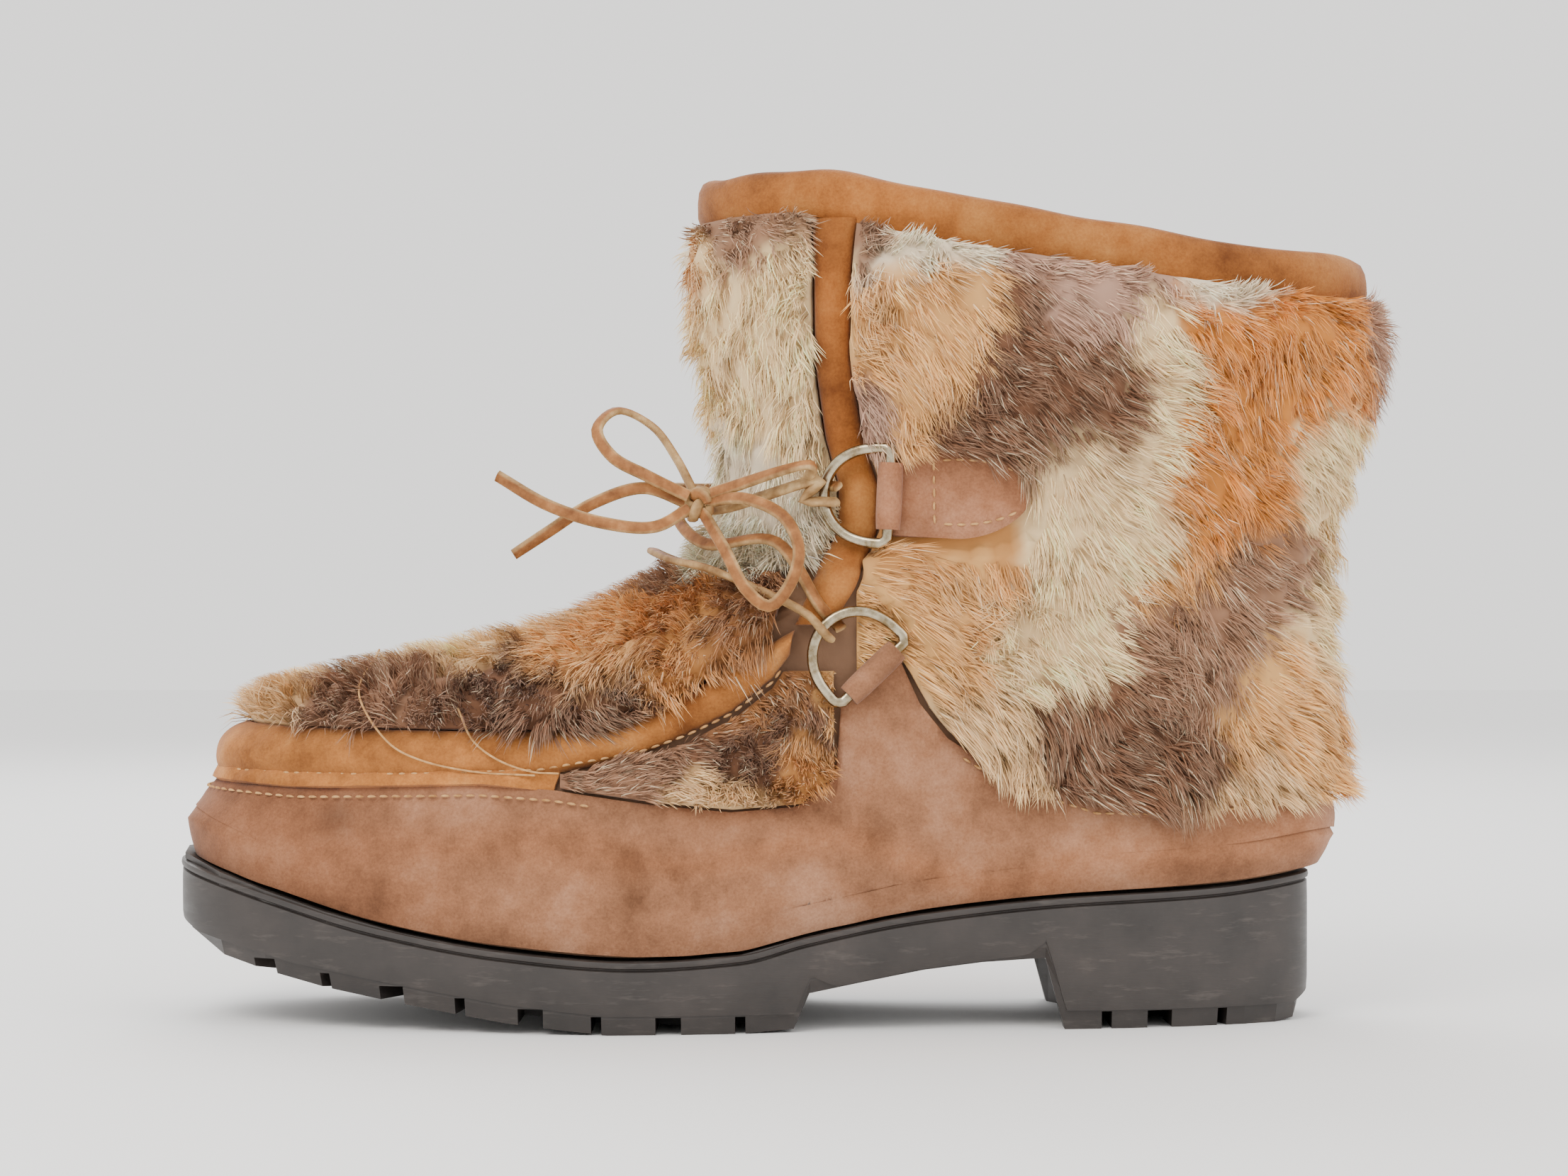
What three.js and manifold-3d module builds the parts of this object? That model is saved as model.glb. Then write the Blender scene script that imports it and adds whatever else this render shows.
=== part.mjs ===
// Winter boot for a left foot: a fur and suede ankle boot on a lugged rubber sole.
// Millimetres. +X runs to the toe, +Y to the wearer's left (the outer side), +Z up; the floor is z = 0.
// Along the foot, x is measured from the back of the heel until the whole boot is centred at the end.
import * as THREE from 'three';
import { mergeVertices } from 'three/addons/utils/BufferGeometryUtils.js';
import Module from 'manifold-3d';

const wasm = await Module();
wasm.setup();

// Driving dimensions
const wall = 2.6; // hide and lining of the upper
const gap = 0.3; // between pieces that meet
const snug = 1.1; // between the curved upper and what lies on it
const suede = 2.0; // foxing, binding and tabs
const furBase = 0.9; // hide side of the fur pieces
const pile = 9; // combed depth of the fur
const rollHeight = 5.2; // padded roll round the apron
const bindingHeight = 10; // collar binding on the outside
const soleMargin = { toe: 6.4, side: 4.2, heel: 1.2 }; // sole edge outside the upper's feather line
const treadDepth = 4.5;
const heelFront = 69; // where the heel block begins on the floor
const wireRadius = 1.4;
const ringWidth = 24; // straight bar of a D-ring, between wire centres
const ringDepth = 17; // bar to the top of the bow
const sleeveRadius = 3.3; // folded suede round a ring's bar
const thongRadius = 1.5; // leather lace
const collarLevel = 10; // number of the last row of the upper

// Height of the sole's upper edge along the foot
const soleTopRows = [
  { x: 0, z: 39 }, { x: 30, z: 35.4 }, { x: 70, z: 33.4 }, { x: 105, z: 29.7 }, { x: 135, z: 24 },
  { x: 152, z: 19.8 }, { x: 177, z: 18.4 }, { x: 210, z: 20.8 }, { x: 241, z: 26 }, { x: 270, z: 34.3 },
  { x: 300, z: 44.5 },
];

// Height of the tread along the foot: toe spring, flat ball, arch and flat heel
const treadRows = [
  { x: 0, z: 6 }, { x: 9, z: 0 }, { x: heelFront, z: 0 }, { x: heelFront + 5, z: 19.2 }, { x: 105, z: 15.4 },
  { x: 134, z: 9.8 }, { x: 138, z: 0 }, { x: 184, z: 0 }, { x: 210, z: 2.8 }, { x: 237, z: 7.2 },
  { x: 263, z: 12 }, { x: 286, z: 18.5 }, { x: 300, z: 27 },
];

// Sections of the upper from the feather line to the collar. Each one is a closed line round the foot:
// toeX, toeZ and heelX, heelZ are its ends, the widths are half widths at toe, ball, waist and heel,
// square rounds (1) or squares (under 1) its ends, follow ties it to the sole's edge, lift is its height
// over that edge, riseFrom and riseTo are where it climbs from the toe's level to the heel's level.
const upperRows = [
  { toeX: 291.5, toeZ: 45, heelX: 4.5, heelZ: 39, toe: 50, ball: 50, waist: 37, heel: 36, square: 0.6,
    follow: 1, lift: 0.8, riseFrom: 190, riseTo: 130, hump: 0 },
  { toeX: 294, toeZ: 54, heelX: -1.5, heelZ: 48, toe: 51, ball: 51.5, waist: 40, heel: 38.5, square: 0.62,
    follow: 1, lift: 10, riseFrom: 190, riseTo: 130, hump: 0 },
  { toeX: 287, toeZ: 62, heelX: -1, heelZ: 60, toe: 45, ball: 46, waist: 40.5, heel: 38, square: 0.7,
    follow: 0, lift: 10, riseFrom: 190, riseTo: 130, hump: 0 },
  { toeX: 279, toeZ: 75, heelX: 3, heelZ: 101, toe: 40, ball: 40, waist: 39.5, heel: 38, square: 0.78,
    follow: 0, lift: 10, riseFrom: 190, riseTo: 130, hump: 0 },
  { toeX: 238, toeZ: 85.5, heelX: 3.5, heelZ: 115, toe: 36, ball: 38, waist: 39.5, heel: 38.5, square: 0.95,
    follow: 0, lift: 10, riseFrom: 190, riseTo: 110, hump: 0 },
  { toeX: 190, toeZ: 98.5, heelX: 2.5, heelZ: 129, toe: 36, ball: 38.5, waist: 40.5, heel: 39, square: 1,
    follow: 0, lift: 10, riseFrom: 180, riseTo: 80, hump: 0 },
  { toeX: 157, toeZ: 117, heelX: -1, heelZ: 143, toe: 40, ball: 41, waist: 42, heel: 40, square: 0.95,
    follow: 0, lift: 10, riseFrom: 155, riseTo: 70, hump: 0 },
  { toeX: 150, toeZ: 139, heelX: -5, heelZ: 156, toe: 42, ball: 43, waist: 44, heel: 42, square: 0.9,
    follow: 0, lift: 10, riseFrom: 150, riseTo: 85, hump: 0 },
  { toeX: 154, toeZ: 165, heelX: -9, heelZ: 169, toe: 43, ball: 45, waist: 46, heel: 44, square: 0.88,
    follow: 0, lift: 10, riseFrom: 150, riseTo: 20, hump: 0 },
  { toeX: 158.5, toeZ: 191, heelX: -10, heelZ: 182, toe: 43, ball: 45.5, waist: 47, heel: 45, square: 0.88,
    follow: 0, lift: 10, riseFrom: 160, riseTo: -10, hump: 1.5 },
  { toeX: 160, toeZ: 214, heelX: -10, heelZ: 195, toe: 43, ball: 45.5, waist: 47, heel: 45, square: 0.88,
    follow: 0, lift: 10, riseFrom: 160, riseTo: -10, hump: 3.5 },
];
const widthStations = [0, 0.32, 0.62, 0.86, 1]; // toe, ball, waist, heel and back of a section
const humpX = 135; // where the collar stands highest
const humpSpread = 26;
const toeSwing = 8; // the toe turns this far to the inner side
const archCut = 5; // the inner side is this much narrower at the waist

// Seams seen from the side: upper edge of the foxing with its strap up to the lower ring
const foxingRows = [
  { x: -5, z: 59.5 }, { x: 20, z: 58.5 }, { x: 43, z: 57 }, { x: 61, z: 57.5 }, { x: 75, z: 62 },
  { x: 91, z: 69 }, { x: 99, z: 74 }, { x: 106, z: 83 }, { x: 111, z: 94 }, { x: 113, z: 95 },
  { x: 126, z: 83 }, { x: 127.5, z: 64 }, { x: 136, z: 57 }, { x: 153, z: 55.5 }, { x: 175, z: 57.5 },
  { x: 197, z: 60.5 }, { x: 215, z: 61.5 }, { x: 240, z: 60.8 }, { x: 262, z: 60 }, { x: 300, z: 61.5 },
];
// Lower and upper edge of the padded roll
const rollRows = [
  { x: 139, low: 93, top: 101 }, { x: 143, low: 87, top: 98.5 }, { x: 153, low: 79, top: 92 },
  { x: 164, low: 73.4, top: 85 }, { x: 175, low: 69, top: 79 }, { x: 186, low: 66.3, top: 76 },
  { x: 200, low: 63.5, top: 75.2 }, { x: 222, low: 62.4, top: 75 }, { x: 246, low: 61.6, top: 75 },
  { x: 264, low: 61.6, top: 75 }, { x: 300, low: 62.5, top: 75 },
];
// Middle line and width of the strip that binds the front edge of the quarter
const stripRows = [
  { z: 101, x: 133.5, width: 9 }, { z: 112, x: 127, width: 10 }, { z: 126, x: 121, width: 9.5 },
  { z: 138, x: 120.5, width: 9 }, { z: 150, x: 124, width: 8.5 }, { z: 170, x: 127, width: 8 },
  { z: 192, x: 127, width: 8.5 }, { z: 214, x: 126, width: 12 },
];

const clamp01 = (t) => Math.min(1, Math.max(0, t));
const lerp = (a, b, t) => a + (b - a) * t;
const ease = (from, to, x) => {
  const t = clamp01((x - from) / (to - from));
  return t * t * (3 - 2 * t);
};

// Smooth curve through knots that never overshoots them
function curveThrough(knots, values, at) {
  const last = knots.length - 1;
  const x = Math.min(knots[last], Math.max(knots[0], at));
  let i = 0;
  while (i < last - 1 && x > knots[i + 1]) i += 1;
  const slope = (k) => (values[k + 1] - values[k]) / (knots[k + 1] - knots[k]);
  const tangent = (k) => {
    if (k === 0) return slope(0);
    if (k === last) return slope(last - 1);
    const before = slope(k - 1);
    const after = slope(k);
    return before * after <= 0 ? 0 : (2 * before * after) / (before + after);
  };
  const h = knots[i + 1] - knots[i];
  const t = (x - knots[i]) / h;
  const a = (1 + 2 * t) * (1 - t) ** 2 * values[i] + t * t * (3 - 2 * t) * values[i + 1];
  return a + h * (t * (1 - t) ** 2 * tangent(i) + t * t * (t - 1) * tangent(i + 1));
}

// Straight lines through a table's rows
function straightThrough(rows, key, column, at) {
  const last = rows.length - 1;
  if (at <= rows[0][key]) return rows[0][column];
  if (at >= rows[last][key]) return rows[last][column];
  let i = 0;
  while (at > rows[i + 1][key]) i += 1;
  return lerp(rows[i][column], rows[i + 1][column], (at - rows[i][key]) / (rows[i + 1][key] - rows[i][key]));
}

const soleTop = (x) => curveThrough(soleTopRows.map((r) => r.x), soleTopRows.map((r) => r.z), x);
const tread = (x) => straightThrough(treadRows, 'x', 'z', x);
const levels = upperRows.map((row, i) => i);

// The section of the upper at any level between two rows
function sectionAt(level) {
  const section = {};
  for (const column of Object.keys(upperRows[0])) {
    section[column] = curveThrough(levels, upperRows.map((row) => row[column]), level);
  }
  return section;
}

function heightOn(section, x) {
  const level = lerp(section.toeZ, section.heelZ, ease(section.riseFrom, section.riseTo, x));
  const hump = section.hump * Math.exp(-(((x - humpX) / humpSpread) ** 2));
  return lerp(level, soleTop(x) + section.lift, section.follow) + hump;
}

// Point of the upper's outer face at an angle round the section (0 at the toe, positive on the outer side)
function lastPoint(angle, level) {
  const s = sectionAt(level);
  const along = (1 - Math.cos(angle)) / 2;
  const x = lerp(s.toeX, s.heelX, along);
  const side = Math.sin(angle) < 0 ? -1 : 1;
  const low = 1 - ease(2, 5, level);
  const waist = s.waist + (side > 0 ? 0 : -archCut * low);
  const half = curveThrough(widthStations, [s.toe, s.ball, waist, s.heel, s.heel], along);
  const swing = -toeSwing * low * ease(120, 300, x);
  const y = side * Math.abs(Math.sin(angle)) ** s.square * half + swing;
  return new THREE.Vector3(x, y, heightOn(s, x));
}

// The same point moved out along the surface's normal
function skin(angle, level, out) {
  const step = 0.02;
  const base = Math.min(collarLevel - step, Math.max(step, level));
  const aheadOf = lastPoint(angle + step, base).sub(lastPoint(angle - step, base));
  const above = lastPoint(angle, base + step).sub(lastPoint(angle, base - step));
  const normal = aheadOf.cross(above).normalize();
  return lastPoint(angle, level).addScaledVector(normal, out);
}

// Angle of a place x on the section at a level, and level of a place (x, z) seen from the side
function angleOf(x, level) {
  const s = sectionAt(level);
  return Math.acos(Math.min(1, Math.max(-1, (2 * (s.toeX - x)) / (s.heelX - s.toeX) + 1)));
}
function levelOf(x, z) {
  let low = 0;
  let high = collarLevel;
  for (let i = 0; i < 30; i += 1) {
    const mid = (low + high) / 2;
    if (heightOn(sectionAt(mid), x) < z) low = mid;
    else high = mid;
  }
  return (low + high) / 2;
}
function skinAt(x, z, side, out) {
  const level = levelOf(x, z);
  return skin(side * angleOf(x, level), level, out);
}

function geometryOf(points, triangles) {
  const geometry = new THREE.BufferGeometry();
  geometry.setAttribute('position', new THREE.Float32BufferAttribute(points.flatMap((p) => p.toArray()), 3));
  geometry.setIndex(triangles);
  return geometry;
}

function solidOf(geometry) {
  const bare = geometry.clone();
  bare.deleteAttribute('normal');
  bare.deleteAttribute('uv');
  const merged = mergeVertices(bare, 1e-4);
  return new wasm.Manifold(new wasm.Mesh({
    numProp: 3,
    vertProperties: merged.attributes.position.array,
    triVerts: new Uint32Array(merged.index.array),
  }));
}

function geometryFrom(solid) {
  const mesh = solid.getMesh();
  const geometry = new THREE.BufferGeometry();
  geometry.setAttribute('position', new THREE.Float32BufferAttribute(mesh.vertProperties, 3));
  geometry.setIndex([...mesh.triVerts]);
  return geometry;
}

// A layer of the boot: a grid of columns and rows with an inner and an outer face, closed at its edges.
// place(u, s) gives the angle and level, inner(u, s) and outer(u, s) the heights over the upper's face.
function layer({ columns, rows, ring, place, inner, outer }) {
  const points = [];
  const triangles = [];
  const across = ring ? columns : columns + 1;
  const index = (i, j, face) => ((i % across) * (rows + 1) + j) * 2 + face;
  for (let i = 0; i < across; i += 1) {
    for (let j = 0; j <= rows; j += 1) {
      const u = i / columns;
      const s = j / rows;
      const [angle, level] = place(u, s);
      points.push(skin(angle, level, inner(u, s)), skin(angle, level, outer(u, s)));
    }
  }
  const quad = (a, b, c, d) => triangles.push(a, b, c, a, c, d);
  for (let i = 0; i < columns; i += 1) {
    for (let j = 0; j < rows; j += 1) {
      quad(index(i, j, 1), index(i + 1, j, 1), index(i + 1, j + 1, 1), index(i, j + 1, 1));
      quad(index(i, j, 0), index(i, j + 1, 0), index(i + 1, j + 1, 0), index(i + 1, j, 0));
    }
    quad(index(i, 0, 0), index(i + 1, 0, 0), index(i + 1, 0, 1), index(i, 0, 1));
    quad(index(i, rows, 1), index(i + 1, rows, 1), index(i + 1, rows, 0), index(i, rows, 0));
  }
  if (!ring) {
    for (let j = 0; j < rows; j += 1) {
      quad(index(0, j, 0), index(0, j, 1), index(0, j + 1, 1), index(0, j + 1, 0));
      quad(index(columns, j, 1), index(columns, j, 0), index(columns, j + 1, 0), index(columns, j + 1, 1));
    }
  }
  return geometryOf(points, triangles);
}

// A round bar along a line of points, closed into a loop or capped at its ends
function bar(points, radius, sides, loop, firstArm) {
  const count = points.length;
  const at = (i) => points[loop ? (i + count) % count : Math.min(count - 1, Math.max(0, i))];
  let arm = (firstArm ?? new THREE.Vector3(0.31, 0.43, 0.85)).clone();
  const verts = [];
  const triangles = [];
  for (let i = 0; i < count; i += 1) {
    const along = at(i + 1).clone().sub(at(i - 1)).normalize();
    arm = arm.clone().addScaledVector(along, -arm.dot(along)).normalize();
    const third = along.clone().cross(arm);
    for (let k = 0; k < sides; k += 1) {
      const a = (2 * Math.PI * k) / sides;
      const reach = arm.clone().multiplyScalar(Math.cos(a)).addScaledVector(third, Math.sin(a));
      verts.push(points[i].clone().addScaledVector(reach, radius));
    }
  }
  const index = (i, k) => (i % count) * sides + (k % sides);
  const spans = loop ? count : count - 1;
  for (let i = 0; i < spans; i += 1) {
    for (let k = 0; k < sides; k += 1) {
      triangles.push(index(i, k), index(i, k + 1), index(i + 1, k + 1));
      triangles.push(index(i, k), index(i + 1, k + 1), index(i + 1, k));
    }
  }
  if (!loop) {
    for (let k = 1; k < sides - 1; k += 1) {
      triangles.push(index(0, 0), index(0, k + 1), index(0, k));
      triangles.push(index(count - 1, 0), index(count - 1, k), index(count - 1, k + 1));
    }
  }
  return geometryOf(verts, triangles);
}

// Points spread evenly along a smooth line through a few chosen ones
function smoothLine(chosen, steps) {
  return new THREE.CatmullRomCurve3(chosen, false, 'centripetal').getSpacedPoints(steps);
}

// The feather line seen from above, moved outwards
function outline(angle, out) {
  const here = lastPoint(angle, 0);
  const ahead = lastPoint(angle + 0.02, 0);
  const behind = lastPoint(angle - 0.02, 0);
  const normal = new THREE.Vector3(ahead.y - behind.y, behind.x - ahead.x, 0).normalize();
  return here.addScaledVector(normal, out);
}

function soleOverhang(x) {
  const toToe = ease(230, 292, x);
  const toHeel = ease(60, 5, x);
  return soleMargin.side + (soleMargin.toe - soleMargin.side) * toToe
    + (soleMargin.heel - soleMargin.side) * toHeel;
}

// A slab in the shape of the foot. Each row of its edge has an outward reach and a height at x.
function slab(stations, edgeRows) {
  const angles = stations.map((x) => angleOf(x, 0));
  const round = [0, ...angles, Math.PI, ...angles.map((a) => -a).reverse()];
  const count = round.length;
  const deep = edgeRows.length;
  const points = round.flatMap((angle) => edgeRows.map((row) => {
    const p = outline(angle, row.reach(lastPoint(angle, 0).x));
    return p.setZ(row.height(p.x));
  }));
  const triangles = [];
  const index = (i, j) => (i % count) * deep + j;
  const quad = (a, b, c, d) => triangles.push(a, b, c, a, c, d);
  for (let i = 0; i < count; i += 1) {
    for (let j = 0; j < deep - 1; j += 1) {
      quad(index(i, j), index(i + 1, j), index(i + 1, j + 1), index(i, j + 1));
    }
  }
  const half = angles.length + 1;
  for (let i = 0; i < half; i += 1) {
    for (const [j, up] of [[0, false], [deep - 1, true]]) {
      const [a, b, c, d] = [index(i, j), index(i + 1, j), index(count - i - 1, j), index(count - i, j)];
      if (i < half - 1) triangles.push(...(up ? [a, b, c] : [c, b, a]));
      if (i > 0) triangles.push(...(up ? [a, c, d] : [d, c, a]));
    }
  }
  return geometryOf(points, triangles);
}

function boxAt(size, place, turn) {
  const box = new THREE.BoxGeometry(...size);
  box.rotateZ(turn);
  box.translate(...place);
  return solidOf(box);
}

// A trough in the tread that follows the toe spring
function trough(fromX, toX, halfWidth, depth) {
  const shape = new THREE.Shape();
  const steps = 6;
  shape.moveTo(fromX, -5);
  shape.lineTo(toX, -5);
  for (let i = steps; i >= 0; i -= 1) {
    const x = lerp(fromX, toX, i / steps);
    shape.lineTo(x, tread(x) + depth);
  }
  const geometry = new THREE.ExtrudeGeometry(shape, { depth: 2 * halfWidth, bevelEnabled: false, steps: 1 });
  geometry.rotateX(Math.PI / 2);
  geometry.translate(0, halfWidth, 0);
  return solidOf(geometry);
}

function starLug(x, y, radius) {
  const shape = new THREE.Shape();
  const corners = 12;
  for (let i = 0; i < corners; i += 1) {
    const r = i % 2 ? radius * 0.62 : radius;
    const a = (2 * Math.PI * i) / corners;
    shape[i ? 'lineTo' : 'moveTo'](r * Math.cos(a), r * Math.sin(a));
  }
  const geometry = new THREE.ExtrudeGeometry(shape, { depth: treadDepth + 1.5, bevelEnabled: false });
  geometry.translate(x, y, tread(x));
  return solidOf(geometry);
}

// Grooves between the lugs: narrow and wide ones take turns along each side
const forefootGrooves = [151, 169, 187, 203.5, 220.5, 236.5, 252, 267];
const heelGrooves = [58, 44.5, 30];
const narrowGroove = 2.6;
const wideGroove = 6.4;
const grooveLength = 26;
const forefootStars = [
  { x: 159, y: -3 }, { x: 178, y: 6 }, { x: 198, y: -8 }, { x: 219, y: 2 }, { x: 240, y: -9 },
];
const breastHollow = 12; // the heel's front face is hollowed this deep

function makeOutsole() {
  const stations = [297, 290, 281, 270, 255, 237, 222, 210, 197, 184, 168, 152, 138, 134, 120, 105, 90,
    heelFront + 5, heelFront, 52, 36, 22, 13, 7.5];
  const solid = solidOf(slab(stations, [
    { reach: (x) => soleOverhang(x) - 1.8, height: tread },
    { reach: (x) => soleOverhang(x) - 0.3, height: (x) => lerp(tread(x), soleTop(x), 0.22) },
    { reach: (x) => soleOverhang(x) - 0.2, height: (x) => soleTop(x) - 2.6 },
    { reach: (x) => soleOverhang(x) - 0.9, height: (x) => soleTop(x) - 2 },
    { reach: (x) => soleOverhang(x), height: (x) => soleTop(x) - 1.5 },
    { reach: (x) => soleOverhang(x), height: soleTop },
  ]));
  const cuts = [trough(146, 262, 17, treadDepth), trough(22, 58, 12, treadDepth)];
  const grooveAt = (x, i, side, lean) => {
    const level = levelOf(x, soleTop(x));
    const edge = outline(side * angleOf(x, level), soleOverhang(x));
    const width = i % 2 ? wideGroove : narrowGroove;
    const size = [width, grooveLength, 2 * treadDepth];
    return boxAt(size, [x, edge.y - side * (grooveLength / 2 - 2), tread(x)], side * lean);
  };
  for (const side of [1, -1]) {
    forefootGrooves.forEach((x, i) => cuts.push(grooveAt(x, i, side, ease(200, 290, x) * -0.7)));
    heelGrooves.forEach((x, i) => cuts.push(grooveAt(x, i, side, ease(50, 10, x) * 0.5)));
    cuts.push(boxAt([24, narrowGroove, 2 * treadDepth], [12, side * 9, 0], side * -0.35));
    cuts.push(boxAt([30, narrowGroove, 2 * treadDepth], [284, side * 8 - toeSwing, tread(284)], side * 0.3));
  }
  const hollow = new THREE.Shape();
  const halfChord = 35;
  const radius = (halfChord ** 2 + breastHollow ** 2) / (2 * breastHollow);
  const spread = Math.asin(halfChord / radius);
  hollow.absarc(radius - breastHollow, 0, radius, Math.PI - spread, Math.PI + spread, false);
  const breast = new THREE.ExtrudeGeometry(hollow, { depth: 24, bevelEnabled: false, curveSegments: 8 });
  breast.translate(heelFront + 4.6, 0, -5);
  cuts.push(solidOf(breast));
  const carved = cuts.reduce((body, cut) => body.subtract(cut), solid);
  const lugs = [...forefootStars.map((s) => starLug(s.x, s.y, 8)), starLug(42, 0, 9)];
  return geometryFrom(lugs.reduce((body, lug) => body.add(lug), carved));
}

function makeInsole() {
  const stations = [284, 270, 250, 225, 200, 175, 150, 120, 90, 60, 35, 18, 9];
  const inside = () => -(wall + 0.9);
  return slab(stations, [
    { reach: inside, height: (x) => soleTop(x) + 3 * gap },
    { reach: inside, height: (x) => soleTop(x) + 3 * gap + 4 },
  ]);
}

// The whole wall of the upper between two heights over its outer face
function upperWall(inside, outside) {
  return layer({
    columns: 36, rows: 11, ring: true,
    place: (u, s) => [2 * Math.PI * u, collarLevel * s ** 1.1],
    inner: () => inside, outer: () => outside,
  });
}
const makeUpper = () => upperWall(-wall, 0);

// Columns of the foxing: the rows of its upper edge, down the outer side and back along the inner side
const foxingTop = (x) => straightThrough(foxingRows, 'x', 'z', x);
const foxingBottom = (angle) => 0.115 + 0.14 * ease(2.2, Math.PI, Math.abs(angle));
const sideStations = [...foxingRows.map((r) => r.x), 30, 51, 186, 206, 227, 251]
  .filter((x) => x > 2 && x < 270).sort((a, b) => b - a);
const foxingAngles = [0, 0.15, 0.3, ...[270, ...sideStations].map((x) => angleOf(x, 2)), 2.62, 2.8, 2.98];

function foxingLevel(angle) {
  const x = lastPoint(angle, 2).x;
  return levelOf(x, foxingTop(x));
}

// A short sleeve of folded suede that holds a ring's bar
function sleeve(place, dir, length, outer, bore) {
  const ends = [-length / 2, length / 2].map((reach) => place.clone().addScaledVector(dir, reach));
  const longer = [place.clone().addScaledVector(dir, -length), place.clone().addScaledVector(dir, length)];
  return { body: solidOf(bar(ends, outer, 10, false)), bore: solidOf(bar(longer, bore, 8, false)) };
}

// D-rings lie on the upper; bow is the way their round side points, seen from the outer side
const rings = {
  upper: { x: 111.5, z: 135, out: 7.8, bow: [1, 0.02] },
  lower: { x: 118, z: 90.5, out: 5.5, bow: [0.69, 0.72] },
};

const tabSeat = { x: 95, z: 136, out: 3.1, bow: [1, -0.03] }; // middle of the tab under the upper ring

function ringFrame(ring, side) {
  const centre = skinAt(ring.x, ring.z, side, ring.out);
  const ahead = skinAt(ring.x + 3, ring.z, side, ring.out).sub(skinAt(ring.x - 3, ring.z, side, ring.out));
  const up = skinAt(ring.x, ring.z + 3, side, ring.out).sub(skinAt(ring.x, ring.z - 3, side, ring.out));
  const bow = ahead.normalize().multiplyScalar(ring.bow[0]);
  bow.addScaledVector(up.normalize(), ring.bow[1]).normalize();
  const normal = skinAt(ring.x, ring.z, side, 1).sub(skinAt(ring.x, ring.z, side, 0)).normalize();
  const along = normal.clone().cross(bow).normalize();
  return { centre, bow, along, normal };
}

function makeRing(ring, side) {
  const { centre, bow, along, normal } = ringFrame(ring, side);
  const at = (b, a) => centre.clone().addScaledVector(along, b).addScaledVector(bow, a);
  const half = ringWidth / 2;
  const points = [at(-half * 0.82, 0), at(half * 0.82, 0)];
  const arcs = 12;
  for (let i = 0; i <= arcs; i += 1) {
    const a = (Math.PI * i) / arcs;
    const fullness = Math.sin(a) ** 0.8;
    points.push(at(half * Math.cos(a), 1.4 + (ringDepth - 1.4) * fullness));
  }
  return bar(points, wireRadius, 6, true, normal);
}

function ringSleeve(ring, side) {
  const { centre, along } = ringFrame(ring, side);
  return sleeve(centre, along, ringWidth * 0.7, sleeveRadius, wireRadius + gap);
}

function makeFoxing() {
  const stations = [...foxingAngles, Math.PI, ...foxingAngles.slice(1).map((a) => -a).reverse()];
  const count = stations.length;
  const angleAt = (u) => stations[Math.round(u * count) % count];
  let solid = solidOf(layer({
    columns: count, rows: 4, ring: true,
    place: (u, s) => {
      const angle = angleAt(u);
      return [angle, lerp(foxingBottom(angle), foxingLevel(angle), s)];
    },
    inner: () => snug, outer: () => snug + suede,
  }));
  for (const side of [1, -1]) solid = solid.add(ringSleeve(rings.lower, side).body);
  for (const side of [1, -1]) solid = solid.subtract(ringSleeve(rings.lower, side).bore);
  return geometryFrom(solid);
}

// One body, cut clear of the upper
function clearOfUpper(solid) {
  const core = solidOf(upperWall(0.5 - wall, gap));
  return solid.subtract(core).decompose().sort((a, b) => b.volume() - a.volume())[0];
}

const rollLow = (x) => straightThrough(rollRows, 'x', 'low', x);
const rollTop = (x) => straightThrough(rollRows, 'x', 'top', x);
const rollEnd = rollRows[0].x;

function rollAngles() {
  const between = [148, 170, 181, 193, 211, 234, 255];
  const stations = [...rollRows.map((r) => r.x), ...between].filter((x) => x < 270).sort((a, b) => a - b);
  const side = stations.map((x) => angleOf(x, 2.6));
  return [...side, 0.32, 0.16, 0, -0.16, -0.32, ...side.map((a) => -a).reverse()].reverse();
}

function makeRoll() {
  const stations = rollAngles();
  const padded = layer({
    columns: stations.length - 1, rows: 5, ring: false,
    place: (u, s) => {
      const angle = stations[Math.round(u * (stations.length - 1))];
      const x = lastPoint(angle, 2.6).x;
      return [angle, lerp(levelOf(x, rollLow(x)) + 0.05, levelOf(x, rollTop(x)) - 0.02, s)];
    },
    inner: () => snug,
    outer: (u, s) => snug + 1.6 + (rollHeight - 1.6) * Math.sin(Math.PI * (0.12 + 0.82 * s)),
  });
  return geometryFrom(clearOfUpper(solidOf(padded)));
}

// Fur: a layer of pile with locks fused on, each a flat tapered tuft that lies down along the comb
function furDepth(u, s, edge) {
  const rim = Math.min(u, 1 - u, s, 1 - s);
  return furBase + lerp(0.62, 1, ease(0, edge, rim)) * (pile - furBase);
}

function lock(angle, level, comb, length, wide) {
  const depth = wide * 0.55;
  const root = Math.max(depth + 0.8, pile * 0.68);
  const base = skin(angle, level, root);
  const side = skin(angle + 0.03, level, root).sub(skin(angle - 0.03, level, root)).normalize();
  const up = skin(angle, level + 0.05, root).sub(skin(angle, level - 0.05, root)).normalize();
  const normal = side.clone().cross(up).normalize();
  const lie = side.multiplyScalar(comb[0]).addScaledVector(up, comb[1]);
  lie.addScaledVector(normal, comb[2]).normalize();
  const across = lie.clone().cross(normal).normalize();
  const cone = new THREE.ConeGeometry(wide, length, 4, 1);
  cone.rotateY(Math.PI / 4);
  cone.scale(1, 1, 0.55);
  cone.translate(0, length * 0.3, 0);
  const turn = new THREE.Matrix4().makeBasis(across, lie, across.clone().cross(lie));
  cone.applyMatrix4(turn.setPosition(base));
  return solidOf(cone);
}

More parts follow.
